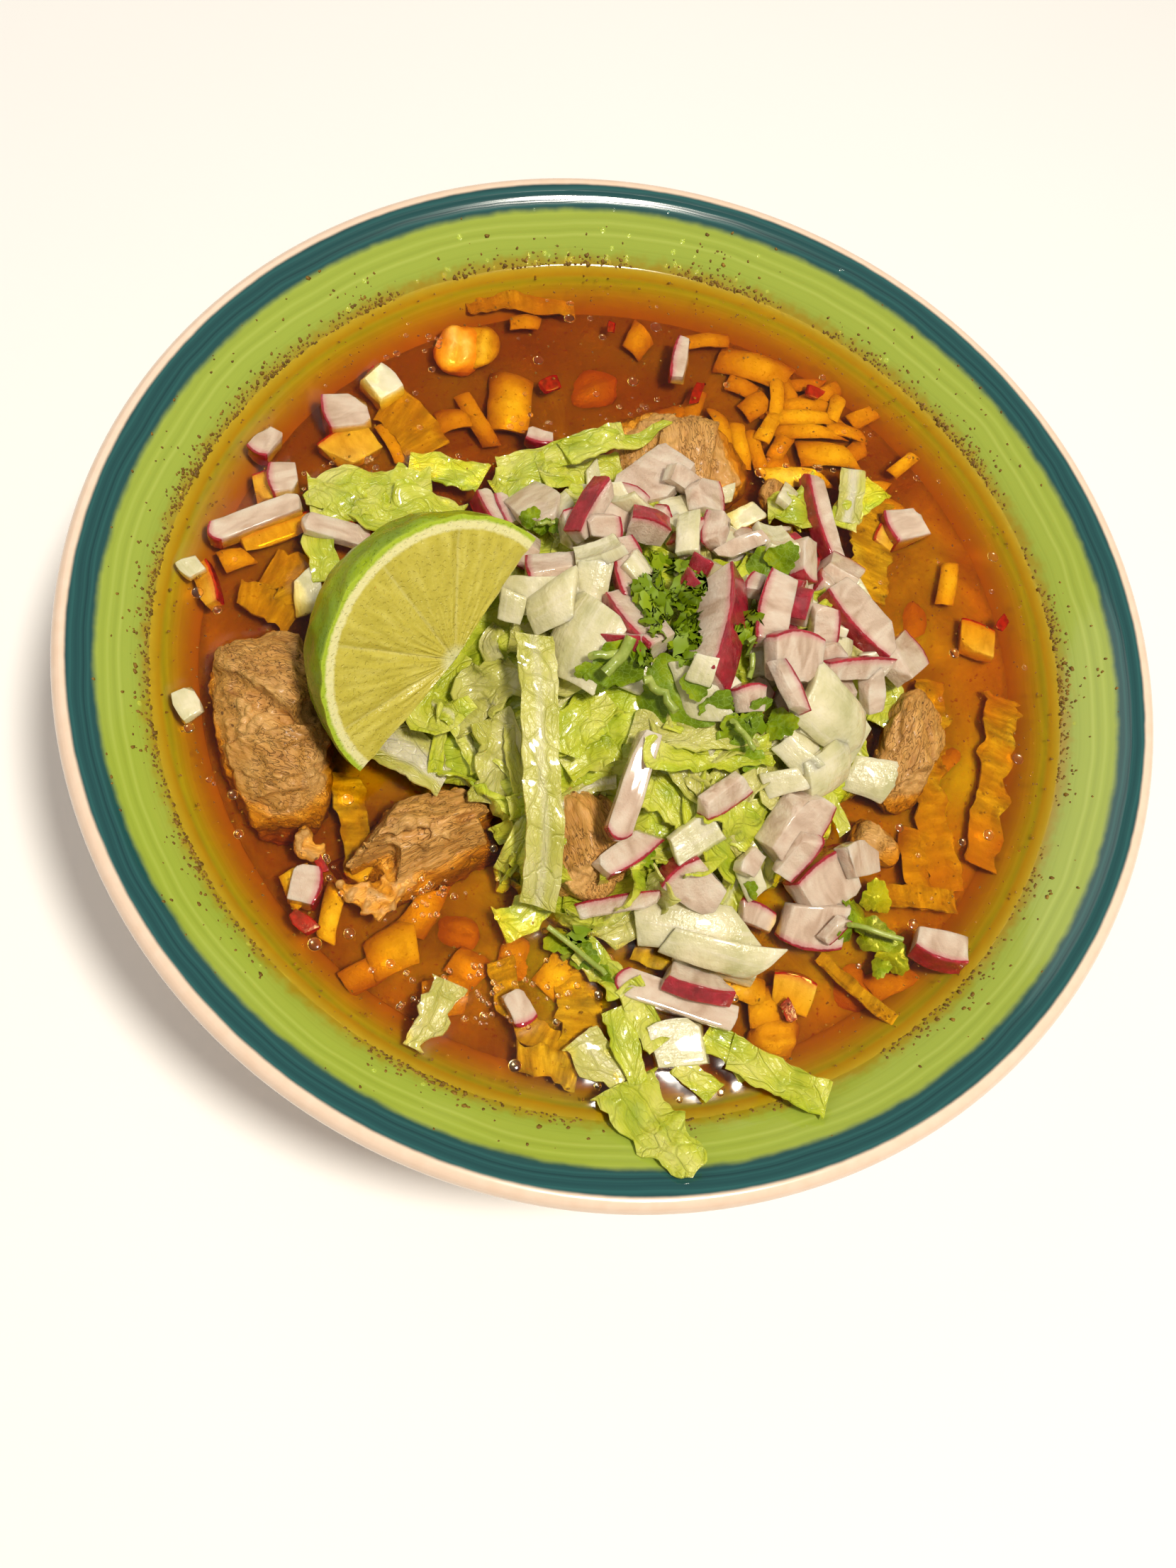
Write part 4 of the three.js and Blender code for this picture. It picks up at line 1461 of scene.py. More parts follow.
# Loose radish: place as the camera sees it on the broth's plane, length, width, height, the way of the
# length and of the skin in degrees, a roll about the length, and the thinning away from the skin.
looseRadish = [
    (-25.8, 26.8, 9, 3.6, 4.5, -62, 208, 25, 0.3),
    (-22.3, 27, 8, 2.4, 3, -70, 200, 0, 0.1),
    (-17, 26, 13, 8.5, 3.2, -62, None, 0, 0.2),
    (-19, 18, 7.6, 5, 4, 80, 180, -75, 0.2),
    (-6.5, 27.5, 12, 4, 4, 62, 152, 35, 0.3),
    (5.5, 34, 14, 11, 3.6, 52, None, 0, 0.3),
    (12.5, 34.5, 10, 4, 3, -12, None, 0, 0.2),
    (15.5, 31, 8, 6.5, 3.6, 10, 350, 0, 0.2),
    (17.7, 24.6, 7, 4, 3.6, 80, 170, -70, 0.2),
    (3.8, 24.8, 8.6, 6, 4, -8, 78, 25, 0.2),
    (-5.5, 21, 6.5, 4.6, 3, 12, 20, 0, 0.1),
    (7.2, 28.5, 4, 2.6, 2.4, -40, 50, 0, 0.1),
    (27.5, 25.4, 15, 3.8, 2.2, 19, 109, -40, 0.6),
    (22.5, 21.6, 10.5, 3, 2.6, 22, None, 0, 0.1),
    (15.5, 16.2, 8, 4.2, 3.4, 38, 240, 15, 0.4),
    (40.3, 28.5, 18, 5.4, 3.6, 104, 174, 0, 0.3),
    (35, 19.5, 10, 4.6, 3.4, 82, 262, 0, 0.1),
    (40.8, 16.4, 9.4, 8, 4, -30, 40, 0, 0.2),
    (44.8, 6.6, 17, 8, 4, -48, 225, 0, 0.2),
    (37.8, 5.2, 10, 5, 4, 86, 356, 0, 0.2),
    (33.2, 8.6, 6.4, 4.4, 3.6, 70, 190, 30, 0.2),
    (28.2, 7.6, 16, 5.6, 4.6, 74, 164, 30, 0.5),
    (24.6, 12.6, 5, 3.4, 3, 60, 150, 20, 0.2),
    (31, -1.6, 11, 8.4, 4, 8, 118, 0, 0.2),
    (38.6, -1, 6.5, 5.4, 3.4, 20, None, 0, 0.1),
    (42, -4.6, 17, 3.8, 3, 14, 104, 0, 0.3),
    (28.8, -8.5, 10.5, 3, 2.6, -62, 28, -65, 0.2),
    (22.8, -9.4, 6, 4.6, 3, 15, 100, 0, 0.1),
    (44.6, -9, 8.4, 4, 3, -76, None, 0, 0.1),
    (16.5, -28.4, 11, 4.6, 3, 34, 304, -60, 0.3),
    (29.6, -39.4, 9.5, 4, 3, 50, 320, 0, 0.2),
    (40, -40.6, 11, 6, 3.4, 20, None, 0, 0.3),
    (31.4, -51.4, 13, 9, 3, -12, 300, 0, 0.3),
    (35.2, -52.8, 6, 2.6, 2.4, 46, 316, -40, 0.2),
    (21.4, -50.4, 8, 4, 2.4, -16, 104, 0, 0.2),
    (21, -40.8, 5, 4.4, 2.6, 60, None, 0, 0.1),
    (-1.6, -39.6, 12, 4.6, 3, 36, 276, 35, 0.3),
    (-3.4, -48.8, 15, 3, 1.8, 7, 97, -35, 0.7),
    (9, -62.6, 12, 6.4, 3, -14, 262, 25, 0.4),
    (-54, 21.8, 12.5, 4.4, 2.6, -6, 354, 0, 0.2),
    (32.6, 14.2, 4, 2.4, 2, 10, 270, 20, 0.1),
]

# Loose onion: place as above, length, width, thickness, the way of the length, and how much it cups.
looseOnion = [
    (-9.6, 30.6, 11, 4.6, 1.7, 76, 0.5),
    (-5.6, 33.6, 8, 2.8, 1.6, 98, 0.3),
    (-12.4, 27, 8, 3.4, 1.6, 60, 0.4),
    (8.6, 25, 10, 3.2, 1.7, -62, 0.3),
    (12.6, 24.6, 9, 4, 1.7, 82, 0.4),
    (11, 29.6, 9, 4.4, 1.7, 30, 0.5),
    (-16, 9.8, 15, 6, 2.6, -4, 0.4),
    (-9, 1.2, 14, 12, 2.6, 65, 1.0),
    (-15, 5, 9, 7, 2.2, 20, 0.8),
    (-22, 5.2, 5, 4, 3.0, 80, 0.3),
    (22.6, 10.4, 9, 2.6, 1.8, 68, 0.4),
    (24.6, 29.4, 7, 4, 2, 30, 0.4),
    (12.4, -9, 11, 6, 2.2, -60, 0.8),
    (14.4, -3.4, 5, 4, 2.2, 70, 0.4),
    (39, -13, 16, 10, 2.6, -26, 1.0),
    (31, -20.2, 7.4, 4, 2.4, -40, 0.5),
    (35.4, -24, 11, 7, 2.8, 36, 0.7),
    (44.8, -24.6, 9, 7, 2.2, -14, 0.8),
    (33, 34, 6, 3, 1.8, 60, 0.3),
    (28, -25.6, 7, 4, 2.0, 10, 0.5),
    (9, -52.8, 20, 8, 2.4, -8, 1.0),
    (20, -44, 7, 4, 2.2, -60, 0.4),
    (13.6, -57.6, 18, 5.4, 2.4, -14, 0.8),
    (-58.4, 8.8, 8, 5, 1.8, 100, 0.3),
    (46, 9.4, 5, 4, 2, 30, 0.3),
    (20, 33.6, 5, 3, 2, 20, 0.3),
]


def looseCut(x, y, length, width, height, turn, skinAngle, roll, wedge):
    quarter = 0 if skinAngle is None else round((skinAngle - turn - 90) % 360 / 90) % 4
    size = length, width, height
    spot = settled(*whereSeen(x, y), size, turn)
    return layDie("radish", size, quarter, 0.14, roll, wedge, skinAngle is not None, spot)


def onionPlate(name, length, width, thick, cup, slant):
    bpy.ops.mesh.primitive_grid_add(x_subdivisions=10, y_subdivisions=8, size=1)
    piece = newest(name)
    points = pointsOf(piece)
    points[:, 0] += slant * points[:, 1] * (1 + points[:, 0])
    points[:, 1] *= 1 + slant * points[:, 0]
    points[:, 2] = -cup * (points[:, 1] ** 2 * width + 0.5 * points[:, 0] ** 2 * length)
    points[:, :2] *= (length, width)
    putPoints(piece, points * mm)
    keep(piece, "cut", points + uniform(0, 90))
    modify(piece, "SOLIDIFY", thickness=thick * mm, offset=0)
    bevelEdges(piece, 0.25)
    roughen(piece, 4.0, 0.7)
    smoothShade(piece, 48)
    return piece


def looseSlice(x, y, length, width, thick, turn, cup):
    piece = onionPlate("onion", length, width, thick, cup * 0.6, uniform(-0.3, 0.3))
    piece.data.transform(settled(*whereSeen(x, y), (length, width, thick), turn, 0.3))
    return piece


# Fillers between the cuts that show: a few dice and plates are modelled once, and copied over an area
# given as its middle and reach.
fillers = {"radish": 46, "onion": 70, "upper": ((16, 7), (33, 24)), "lower": ((2, -12), (44, 36))}


def makeFillers():
    dice = []
    for number in range(6):
        size = uniform(5, 9), uniform(3.5, 6), uniform(2.6, 4)
        dice.append(cutDie("die", size, 0.2, 0.1, cuts=3))
    plates = [onionPlate("plate", uniform(5, 10), uniform(4, 7), 1.9, 0.5, 0.2 - 0.1 * k) for k in range(5)]
    for kind, masters, material in (("radish", dice, radishFlesh), ("onion", plates, onionFlesh)):
        copies = []
        for number in range(fillers[kind]):
            x, y = inDisc(*fillers["upper" if number % 4 or kind == "radish" else "lower"])
            master = masters[number % len(masters)]
            low, high = 0.5, outline[cellOf(x, y)]
            if not low <= heightAt(x, y) <= high or shown[cellOf(x, y)] or (x < -14 and y < 8):
                continue
            spot = settled(x, y, tuple(master.dimensions / mm), uniform(0, 360), 0.8, lift=-0.4)
            copies.append(copyAt(master, spot @ turnBy(random.choice((0, 0, 1.2, 3.1)), "X")))
        for master in masters:
            drop(master)
        finishAll(copies, kind + "_bits", material, kind)
    print("fillers made")


makeFillers()
finishAll([looseSlice(*entry) for entry in looseOnion], "onion_slices", onionFlesh, "onion")
finishAll([looseCut(*entry) for entry in looseRadish], "radish_dice", radishFlesh, "radish")
print("loose cuts made")


# cilantro

cilantro = {
    "thick": 0.26,
    "stemRise": 0.9,
    # place as the camera sees it on the broth's plane, size, the way of the tip in degrees
    "leaves": [
        (-17.8, 26.2, 6, 150), (-15.4, 24.6, 4.5, 60), (-14, 21.6, 4, -40), (27, 17.6, 9.5, 200),
        (30.6, 19.6, 8, 40), (6.4, -10.6, 18, -28), (-3, -7, 13, 200), (-5.6, -5.6, 8, 150),
        (12, -7.6, 7, 30), (17.6, -11, 8, 200), (20.6, -15, 9, -70), (27, -14.6, 8, -20),
        (24, -11.6, 6, 40), (20.4, -19, 6, 90), (22, -21.6, 6, -90), (20, -45.6, 5, -60),
        (2, -40.6, 5, -40), (23, 3, 4, -80), (40.6, -50, 9, 160), (44.4, -47, 8, 80),
        (43, -53.4, 9, -20), (46.4, -57, 8, -60), (38, -53, 7, 200), (44, -59, 5, -110),
        (-14, -54.6, 7, -40), (-10, -57.4, 7, -30), (-6.6, -61, 6, -60),
    ],
    # chopped leaf: the middle of the heap of it, its reach, how many pieces
    "chopped": [
        ((8, 11), (6, 9), 64), ((10.4, 2), (3, 4.6), 20), ((23.6, 4), (1.6, 3), 6),
        ((22, -16), (5, 4), 8), ((2, -1), (4, 2), 6), ((-12, -55), (4, 3), 4),
    ],
    "choppedSize": (2.4, 5.0),
    # from and to, seen likewise, and the radius
    "stems": [
        ((2.6, -6.6), (8, -13.2), 0.75), ((0.6, 2), (-5, -6.4), 1.0), ((-13.4, 25.4), (-16.8, 24.6), 0.4),
        ((23, 2), (21.6, -7), 0.5), ((38, -52), (47, -55), 0.5), ((-16, -53), (-6, -61), 0.5),
        ((-1, -1), (-7, -2), 0.7), ((19, -14), (22, -20), 0.5),
    ],
}


def cilantroMaterial():
    newMaterial("cilantroLeaf", (0.1, (0.5, 1.0, 0.2), 0.001), Roughness=0.42, Coat_Weight=0.15,
                Coat_Roughness=0.1, Specular_IOR_Level=0.3)
    place = millimetres("leaf")
    green = ramp(cloud(place, 0.16, 3.0), (0.32, (82, 106, 2)), (0.5, (116, 142, 6)), (0.68, (154, 170, 20)))
    colour = blend(cracks(place, 0.9, 0.08, 0.4), green, (150, 176, 80))
    return paint(colour, cloud(place, 1.1, 3.0), 0.3, 0.7)


def stemMaterial():
    newMaterial("cilantroStem", Roughness=0.3, Coat_Weight=0.3, Coat_Roughness=0.1)
    place = millimetres()
    green = ramp(cloud(place, 0.3, 3.0), (0.35, (128, 148, 50)), (0.65, (172, 184, 92)))
    return paint(green, cloud(place, 2.0, 2.0), 0.15, 0.6)


# One leaf with a middle lobe and two side lobes, each toothed, its tip along X.
def cilantroLeaf(size, seed, sides=52):
    bpy.ops.mesh.primitive_circle_add(vertices=sides, radius=0.5, fill_type="TRIFAN")
    piece = newest("cilantro")
    with editing(piece):
        bpy.ops.mesh.subdivide(number_cuts=2)
    points = pointsOf(piece)
    angle = np.arctan2(points[:, 1], points[:, 0])
    out = np.hypot(points[:, 0], points[:, 1]) * 2
    lobes = 0.76 + 0.24 * np.abs(np.cos(1.5 * angle)) ** 0.7
    lobes *= 1 - 0.4 * np.clip((np.abs(angle) - 1.9) / 0.8, 0, 1)
    teeth = np.abs(((angle * 11 / circle + seed) % 1) - 0.5) * 2
    lobes += 0.12 * (teeth - 0.5)
    reached = out * (1 + (lobes - 1) * out ** 1.5)
    points[:, 0] = 0.5 * reached * np.cos(angle)
    points[:, 1] = 0.38 * reached * np.sin(angle)
    fold = 0.5 + 0.4 * sin(seed * 2.3)
    for i, (x, y, z) in enumerate(points):
        wave = 0.11 * wobble((x * 2.2, y * 2.2, seed)) + 0.03 * wobble((x * 7, y * 7, seed))
        points[i][2] = wave - 0.35 * fold * abs(y) - 0.2 * x * x
    putPoints(piece, points * size * mm)
    keep(piece, "leaf", points * size + seed * 9)
    modify(piece, "SOLIDIFY", thickness=cilantro["thick"] * mm)
    smoothShade(piece)
    return piece


def stemBetween(start, end, radius):
    middle = ((start[0] + end[0]) / 2 + 0.6, (start[1] + end[1]) / 2 - 0.4)
    route = [whereSeen(x, y) for x, y in smoothLine([start, middle, end], 8)]
    under = [max(heightAt(x, y), 0) for x, y in route]
    rises = [0.5 * (max(under) + height) + cilantro["stemRise"] for height in under]
    line = polyline([(x * mm, y * mm, brothTop + rise * mm) for (x, y), rise in zip(route, rises)])
    line.data.bevel_depth = radius * mm
    line.data.bevel_resolution = 3
    line.data.use_fill_caps = True
    bpy.ops.object.convert(target="MESH")
    piece = newest("stem")
    cleanMesh(piece)
    smoothShade(piece, 50)
    return piece


# Scraps with some of the leaf's edge, as the knife leaves them.
def cutScraps():
    scraps = [cilantroLeaf(1.0, 0.9 * k, 30) for k in range(8)]
    for number, scrap in enumerate(scraps):
        edge = 2.4 * number
        spot = Vector((0.34 * cos(edge), 0.26 * sin(edge), 0)) * mm
        planes = []
        for cut in (-1, 0, 1):
            turn = edge + pi + cut * uniform(1.3, 1.8)
            away = Vector((cos(turn), sin(turn), 0))
            planes.append((spot + away * uniform(0.1, 0.2) * mm, away))
        cutBeyond(scrap, planes)
        scrap.data.transform(Matrix.Scale(2.1, 4) @ Matrix.Translation(-spot))
    return scraps


def makeCilantro():
    pieces = []
    scraps = cutScraps()
    for middle, reach, count in cilantro["chopped"]:
        for number in range(count):
            place = whereSeen(*inDisc(middle, reach))
            size = uniform(*cilantro["choppedSize"])
            spot = settled(*place, (size * 0.6, size * 0.5, 0.3), uniform(0, 360), 0.0, 1.2, 0.05)
            lean = turnBy(uniform(-0.8, 0.8), "X") @ turnBy(uniform(-0.6, 0.6), "Y")
            thin = Matrix.Diagonal((size, size * 0.9, 1.6, 1))
            pieces.append(copyAt(scraps[number % 8], spot @ lean @ thin))
    for scrap in scraps:
        drop(scrap)
    for number, (x, y, size, turn) in enumerate(cilantro["leaves"]):
        place = whereSeen(x, y)
        piece = cilantroLeaf(size, 1.3 * number)
        spot = settled(*place, (size * 0.7, size * 0.6, 0.4), turn, 0.0, 1.2, 0.1)
        lean = turnBy(uniform(-0.35, 0.35), "X") @ turnBy(uniform(-0.35, 0.15), "Y")
        piece.data.transform(spot @ lean)
        pieces.append(piece)
    finishAll(pieces, "cilantro_leaves", cilantroMaterial(), "cilantro")
    stems = [stemBetween(*stem) for stem in cilantro["stems"]]
    finishAll(stems, "cilantro_stems", stemMaterial(), "cilantro")
    print("cilantro made")


makeCilantro()


# what lies sunk in the broth: x, y, depth of its top, length, width, thickness, turn

sunk = {
    "onion": [
        (-21.5, 53.5, 1.3, 13, 7.4, 2.4, 86), (-28, 49, 2.2, 12, 2.6, 2, -62),
        (-32.5, 49, 2.4, 6, 4.4, 2, 10), (-43.6, 42.4, 1.8, 9, 3, 2, -60),
        (-72, 16, 1.6, 5, 3.4, 2, 20), (29.5, 66, 1.6, 15, 6, 2.2, -16),
        (19.4, 71.4, 2.0, 10, 2.6, 2, 12), (43, 60, 2.2, 10, 2.4, 2, 28),
        (39.5, 54.2, 1.2, 15, 2.3, 2, 3), (39, 51, 1.6, 13, 2.2, 2, 2), (38, 57.2, 2.0, 14, 2.2, 2, 6),
        (22, 49.6, 1.6, 10, 2.4, 2, 100), (25.2, 46.6, 1.4, 10, 2.2, 2, 96),
        (28.4, 46, 2.0, 9, 2.2, 2, 104), (43, 46, 1.2, 11, 4.6, 2.2, -4), (40, 62.6, 2.8, 8, 2, 2, 8),
        (33.6, 58.6, 1.4, 9, 2.2, 2, 84), (36.4, 60.4, 2.4, 7, 2, 2, 100),
        (31.6, 51.6, 1.2, 8, 2.2, 2, 60), (46, 57, 1.4, 6, 2, 2, 70), (34, 53.6, 3.0, 8, 2.4, 2, -40),
        (49.6, 47.4, 2.6, 6, 3, 2, 40), (29, 56.8, 2.2, 6, 4, 2, 40), (26.6, 61, 2.4, 6, 3, 2, -20),
        (59.6, 44.6, 1.4, 7, 2, 1.6, 42), (51.6, 38.6, 1.4, 8, 2, 1.6, 6), (66, 18, 1.2, 9, 2.8, 2, 76),
        (5.4, 70, 2.2, 6, 4.4, 2, 60), (-18, 72.4, 2.2, 6, 2.6, 2, 10), (17, -61.4, 1.2, 12, 5, 2, -20),
        (-52.6, -50, 0.9, 9, 2.6, 2, 82), (-58, -45.6, 0.8, 6, 4, 2, -70),
        (36, 39.6, 0.5, 13, 3.6, 1.8, 4), (16, 56, 2.6, 8, 3, 2, 70), (34, 48, 2.4, 8, 2.6, 2, 60),
        (48, 52, 2.0, 8, 2.4, 2, -10), (52, 55.6, 2.0, 6, 2.6, 2, 30), (32.6, 43.6, 2.6, 6, 3, 2, 30),
        (57, 34.6, 2.2, 7, 2.4, 1.6, -30), (12, 53.6, 3.0, 9, 3, 2, 20), (62, -20, 3.2, 8, 4, 2, 40),
        (-46, -60, 3.0, 8, 4, 2, 30), (47, -61, 3.0, 9, 4, 2, 20), (-42, -56, 1.5, 8.4, 6.4, 3, 30),
        (-13, -61, 1.2, 7, 6.4, 3, 50), (-33, -64, 1.7, 7, 5, 3, 10), (-37, -49.6, 2.2, 9, 4, 2.4, 60),
        (-29, -59, 2.6, 6, 5, 2.4, -30), (23, -66, 1.7, 6, 5.6, 3, 10),
    ],
    "radish": [
        (-51.5, 40.8, 1.1, 11, 7.4, 4, 36), (-65.6, 31, 1.2, 8, 6, 4, 10),
        (-76.6, 9.8, 1.3, 8.6, 4, 3, -70), (-65, 21.6, 1.9, 14, 4, 3, 27),
        (70.6, 6, 1.7, 8, 6.6, 4, -20), (27.6, -63.6, 1.5, 8, 7, 4, -15),
        (53.4, 27.4, 0.9, 5, 4.4, 3, 60), (-47, -42, 2.2, 8, 5, 3, 60),
    ],
    "hominy": [
        (-27.4, 66.0, 0.9, 12, 8, 6, 80), (-20, -58, 3.2, 10.6, 9, 6, 60),
        (-30.4, -53, 4.6, 9.6, 7.6, 6, -20), (24.4, -71, 2.0, 10, 8, 6, 0),
        (57, 11, 5.0, 15, 11, 6, 70), (40, -62, 4.8, 10, 9, 6, 40), (-4, 60, 5.2, 12, 10, 6, 30),
        (-4, -66, 4.4, 10, 8, 6, 10),
    ],
    "chips": [
        (-57, -52, 0.25, 5.4, 2.6, 1, -38), (-13.6, 57, 1.2, 4.4, 3, 1, 30),
        (-0.6, 72, 1.6, 3, 1.6, 0.8, 80), (41.4, 59.6, 0.9, 4, 2.6, 1, -20),
        (-48, 57, 1.0, 2.4, 1.6, 0.8, 60), (26.4, -67, 0.3, 4, 2, 0.8, -70),
        (76, 9.4, 0.9, 4, 2, 0.8, 50), (16.6, 57.6, 1.4, 6, 2, 0.8, 70),
        (-52, 22.4, -1.6, 2.4, 1.6, 0.6, -30), (-54.4, -42, -0.2, 3.4, 1.6, 0.8, -60),
    ],
}

# sunk and floating lettuce, with heights over the broth
sunkLeaves = [
    ([(60, -3, -1.6), (58.6, -14, -0.9), (57, -26, -1.3), (59, -45, -2.4)], 6.2, 0, 1, 1.4, 0, 0.6),
    ([(75, -6, -2.2), (72.6, -14, -0.9), (69.6, -26, -1.2), (66, -40, -2.4)], 6.2, 0, 1, 1.4, 0, 0.6),
    ([(44, -45.6, -2), (52, -46, -1.4), (60, -47, -1.6)], 4.4, 0, 1, 0.6),
    ([(54, -33, -2.4), (53, -40, -1.6), (56, -48, -2)], 5, 0, 1, 0.8),
    ([(33, -57, -1), (39, -63, -0.6), (46, -68.6, -1)], 2.4, 0, 1, 0.5),
    ([(-24, -58, -0.8), (-21.6, -66, -0.5), (-15.6, -72, -0.5), (-6, -75.6, -0.7)], 4.6, 0, 1, 0.9, 0, 0.5),
    ([(-11.6, -60, -0.6), (-10, -67, -0.5), (-10, -74, -0.8)], 7.6, 0, 1, 0.9, 0, 0.4),
    ([(-21, -74.6, -0.4), (-15.6, -75.6, -0.3), (-11, -78, -0.3)], 5, 1, 1, 1, 0, 0.6),
    ([(-11, -71.4, 0.1), (-7, -75, 0.4), (-2.6, -78, 0.2)], 6.4, 1, 1, 0.7, 0, 0.5, 0.5),
    ([(-32.6, -62, 0.1), (-35, -67, 0.5), (-38.4, -73, 0.1)], 5.4, 1, 1, 0.8, 0, 0.6),
    ([(-16.6, -48, 0.4), (-20, -51, 0.1), (-24, -52.4, -0.6)], 6.4, 0, 1, 0.8, 0, 0.4),
    ([(-51, -25, -1), (-49.4, -33, -0.8), (-47, -44, -1.6)], 5, 0, 1, 1, 0, 0.4),
    ([(-46, 51, -1.6), (-40, 46, -1.2), (-37, 40, -1.6)], 9, 0, 1, 0.9, 0, 0.3),
    ([(-41, 35.6, -0.4), (-34, 35.6, 0.1), (-27, 33.6, -0.2)], 6.4, 0, 1, 0.8, 0, 0.4),
    ([(-66, 14.6, -1.2), (-61, 12, -0.9), (-58, 6, -1.2)], 9, 0, 1, 1, 0, 0.4),
    ([(-71, 8.6, -1.6), (-66, 7, -1.2), (-61, 3.6, -1.2)], 6, 0, 1, 1, 0, 0.4),
    ([(48, 14, -0.4), (50, 24, -0.5), (52, 36, -0.9)], 8, 0, 1, 1, 0, 0.4),
    ([(44, 28, 0.2), (47, 33, 0), (53, 38, -0.6)], 6, 0, 1, 1, 0, 0.4),
    ([(11, -71, 0), (16, -74, 0.1), (19, -78, 0.2)], 5.4, 0, 1, 0.8, 0, 0.4),
    ([(0, -55, -0.4), (5, -57, -0.2), (9, -56, -0.4)], 6, 0, 1, 1, 0, 0.3),
    ([(-30, 75, -2.2), (-20, 77, -1.8), (-8, 76, -2.4)], 4, 0, 1, 0.8),
]


# What has soaked in the broth takes up its colour, with chilli on it.
def soakedMaterial(name, dark, middle, pale, own=None, stretch=(0.3, 0.3, 0.3)):
    newMaterial(name, (0.3, (1.0, 0.6, 0.1), 0.002), Roughness=0.5)
    place = millimetres()
    flesh = ramp(cloud(millimetres(own, stretch), 1.0, 4.0), (0.32, dark), (0.5, middle), (0.68, pale))
    specks = fade(cloud(place, 1.3, 3.0), 0.60, 0.72, 0.0, 0.75)
    murky = fade(axis(place, 2), level - 5.5, level - 0.3, 1.0, 0.0)
    colour = blend(murky, blend(specks, flesh, (140, 84, 14)), (170, 148, 20))
    return paint(colour, cloud(place, 1.4, 4.0), 0.4, 0.7)


def chipMaterial():
    newMaterial("radishSkin", Roughness=0.25, Coat_Weight=0.4, Coat_Roughness=0.08)
    place = millimetres()
    skin = ramp(cloud(place, 0.8, 3.0), (0.35, (112, 4, 10)), (0.65, (160, 16, 20)))
    return paint(skin, cloud(place, 2.0, 3.0), 0.12, 0.6)


def sunkPiece(kind, number, x, y, depth, length, width, thick, turn):
    if kind == "onion":
        depth = depth * 1.25 + 0.2 if depth > 0.8 else depth
        piece = onionPlate("sunk", length, width, thick, 0.9, uniform(-0.35, 0.35))
    elif kind == "hominy":
        piece = kernel("sunk", (length, width, thick), 1.7 * number)
    else:
        piece = cutDie("sunk", (length, width, thick), 0.15, uniform(-0.15, 0.15), 0.1, cuts=4)
    lean = turnBy(uniform(-0.3, 0.3), "X") @ turnBy(uniform(-0.12, 0.12), "Y")
    piece.data.transform(overBroth(x, y, -(depth + 0.3 + thick / 2)) @ turnBy(radians(turn)) @ lean)
    return piece


def makeSunk():
    made = {}
    for kind, entries in sunk.items():
        made[kind] = [sunkPiece(kind, number, *entry) for number, entry in enumerate(entries)]
    soakedOnion = soakedMaterial("soakedOnion", (196, 164, 70), (222, 198, 110), (236, 216, 140), "cut")
    soakedHominy = soakedMaterial("soakedHominy", (190, 152, 60), (216, 186, 96), (232, 206, 130))
    finishAll(made["onion"], "sunk_onion", soakedOnion, "onion", floats=False)
    finishAll(made["radish"], "sunk_radish", radishFlesh, "radish", floats=False)
    finishAll(made["hominy"], "sunk_hominy", soakedHominy, "hominy", floats=False)
    finishAll(made["chips"], "radish_skin_chips", chipMaterial(), "radish", floats=False)
    groups = [], [], []
    for number, (route, width, heart, *shape) in enumerate(sunkLeaves):
        soaked = max(point[2] for point in route) < 0
        if soaked:
            route = [(x, y, z - leafCut["soaked"]) for x, y, z in route]
        leaf = ribbon("sunk", route, width, *shape, seed=0.83 * number + 2)
        groups[0 if soaked else 1 + heart].append(leaf)
    dark, middle, pale = (104, 84, 12), (158, 136, 30), (206, 184, 66)
    soakedLeaf = soakedMaterial("soakedLettuce", dark, middle, pale, "leaf", (0.7, 0.14, 0.4))
    names = "sunk_lettuce", "floating_lettuce", "floating_lettuce_heart"
    finishGroups(groups, names, (soakedLeaf, *lettuce))


makeSunk()


# chilli flecks, fat and droplets: one small shape, laid many times in one mesh

flecks = {
    "onWall": 2600,
    "onBroth": 900,
    "wallSize": (0.11, 0.42),
    "brothSize": (0.12, 0.36),
    "climb": 7.0,
    "sides": (185, 20),  # the two sides of the bowl that have most
    "reach": (30, 84),
    "shore": (78, 84.5),
}
drops = {
    "fat": 80,
    "fatSize": (0.4, 1.15),
    "fatReach": (20, 80),
    "flat": (0.12, 0.3),
    "beads": 60,
    "beadSize": (0.25, 0.6),
    "beadsFace": (92, 14),  # the way most of them lie from the middle, and their spread
    # bubbles that gather: middle, reach, how many
    "foam": [
        ((-24, -64), (16, 8), 80), ((-38, -47), (8, 6), 30), ((4, 50), (10, 4), 26),
        ((-44, 35), (12, 5), 24), ((-34, 64), (6, 5), 16), ((10, -80), (12, 3), 16),
        ((36, 40), (7, 3), 14), ((-54, -42), (3, 2), 8), ((-56, 33), (4, 3), 12),
        ((-16, 46), (8, 3), 12),
    ],
    "foamReach": 82.5,
    "bubbleSize": (0.2, 0.7),
}


def manyOf(name, master, places):
    corners = np.c_[pointsOf(master), np.ones(len(master.data.vertices))]
    faces = [list(face.vertices) for face in master.data.polygons]
    allCorners = np.concatenate([corners @ np.array(place).T for place in places])[:, :3]
    allFaces = [[i + k * len(corners) for i in face] for k in range(len(places)) for face in faces]
    mesh = bpy.data.meshes.new(name)
    mesh.from_pydata(allCorners.tolist(), [], allFaces)
    piece = bpy.data.objects.new(name, mesh)
    bpy.context.scene.collection.objects.link(piece)
    drop(master)
    smoothShade(piece)
    return piece


def grain(name, flat):
    bpy.ops.mesh.primitive_ico_sphere_add(subdivisions=1, radius=1)
    master = newest(name)
    points = pointsOf(master)
    for i, point in enumerate(points):
        points[i] = point * (1 + 0.5 * wobble(point, 1.6)) * (1, 0.7, flat)
    putPoints(master, points)
    return master


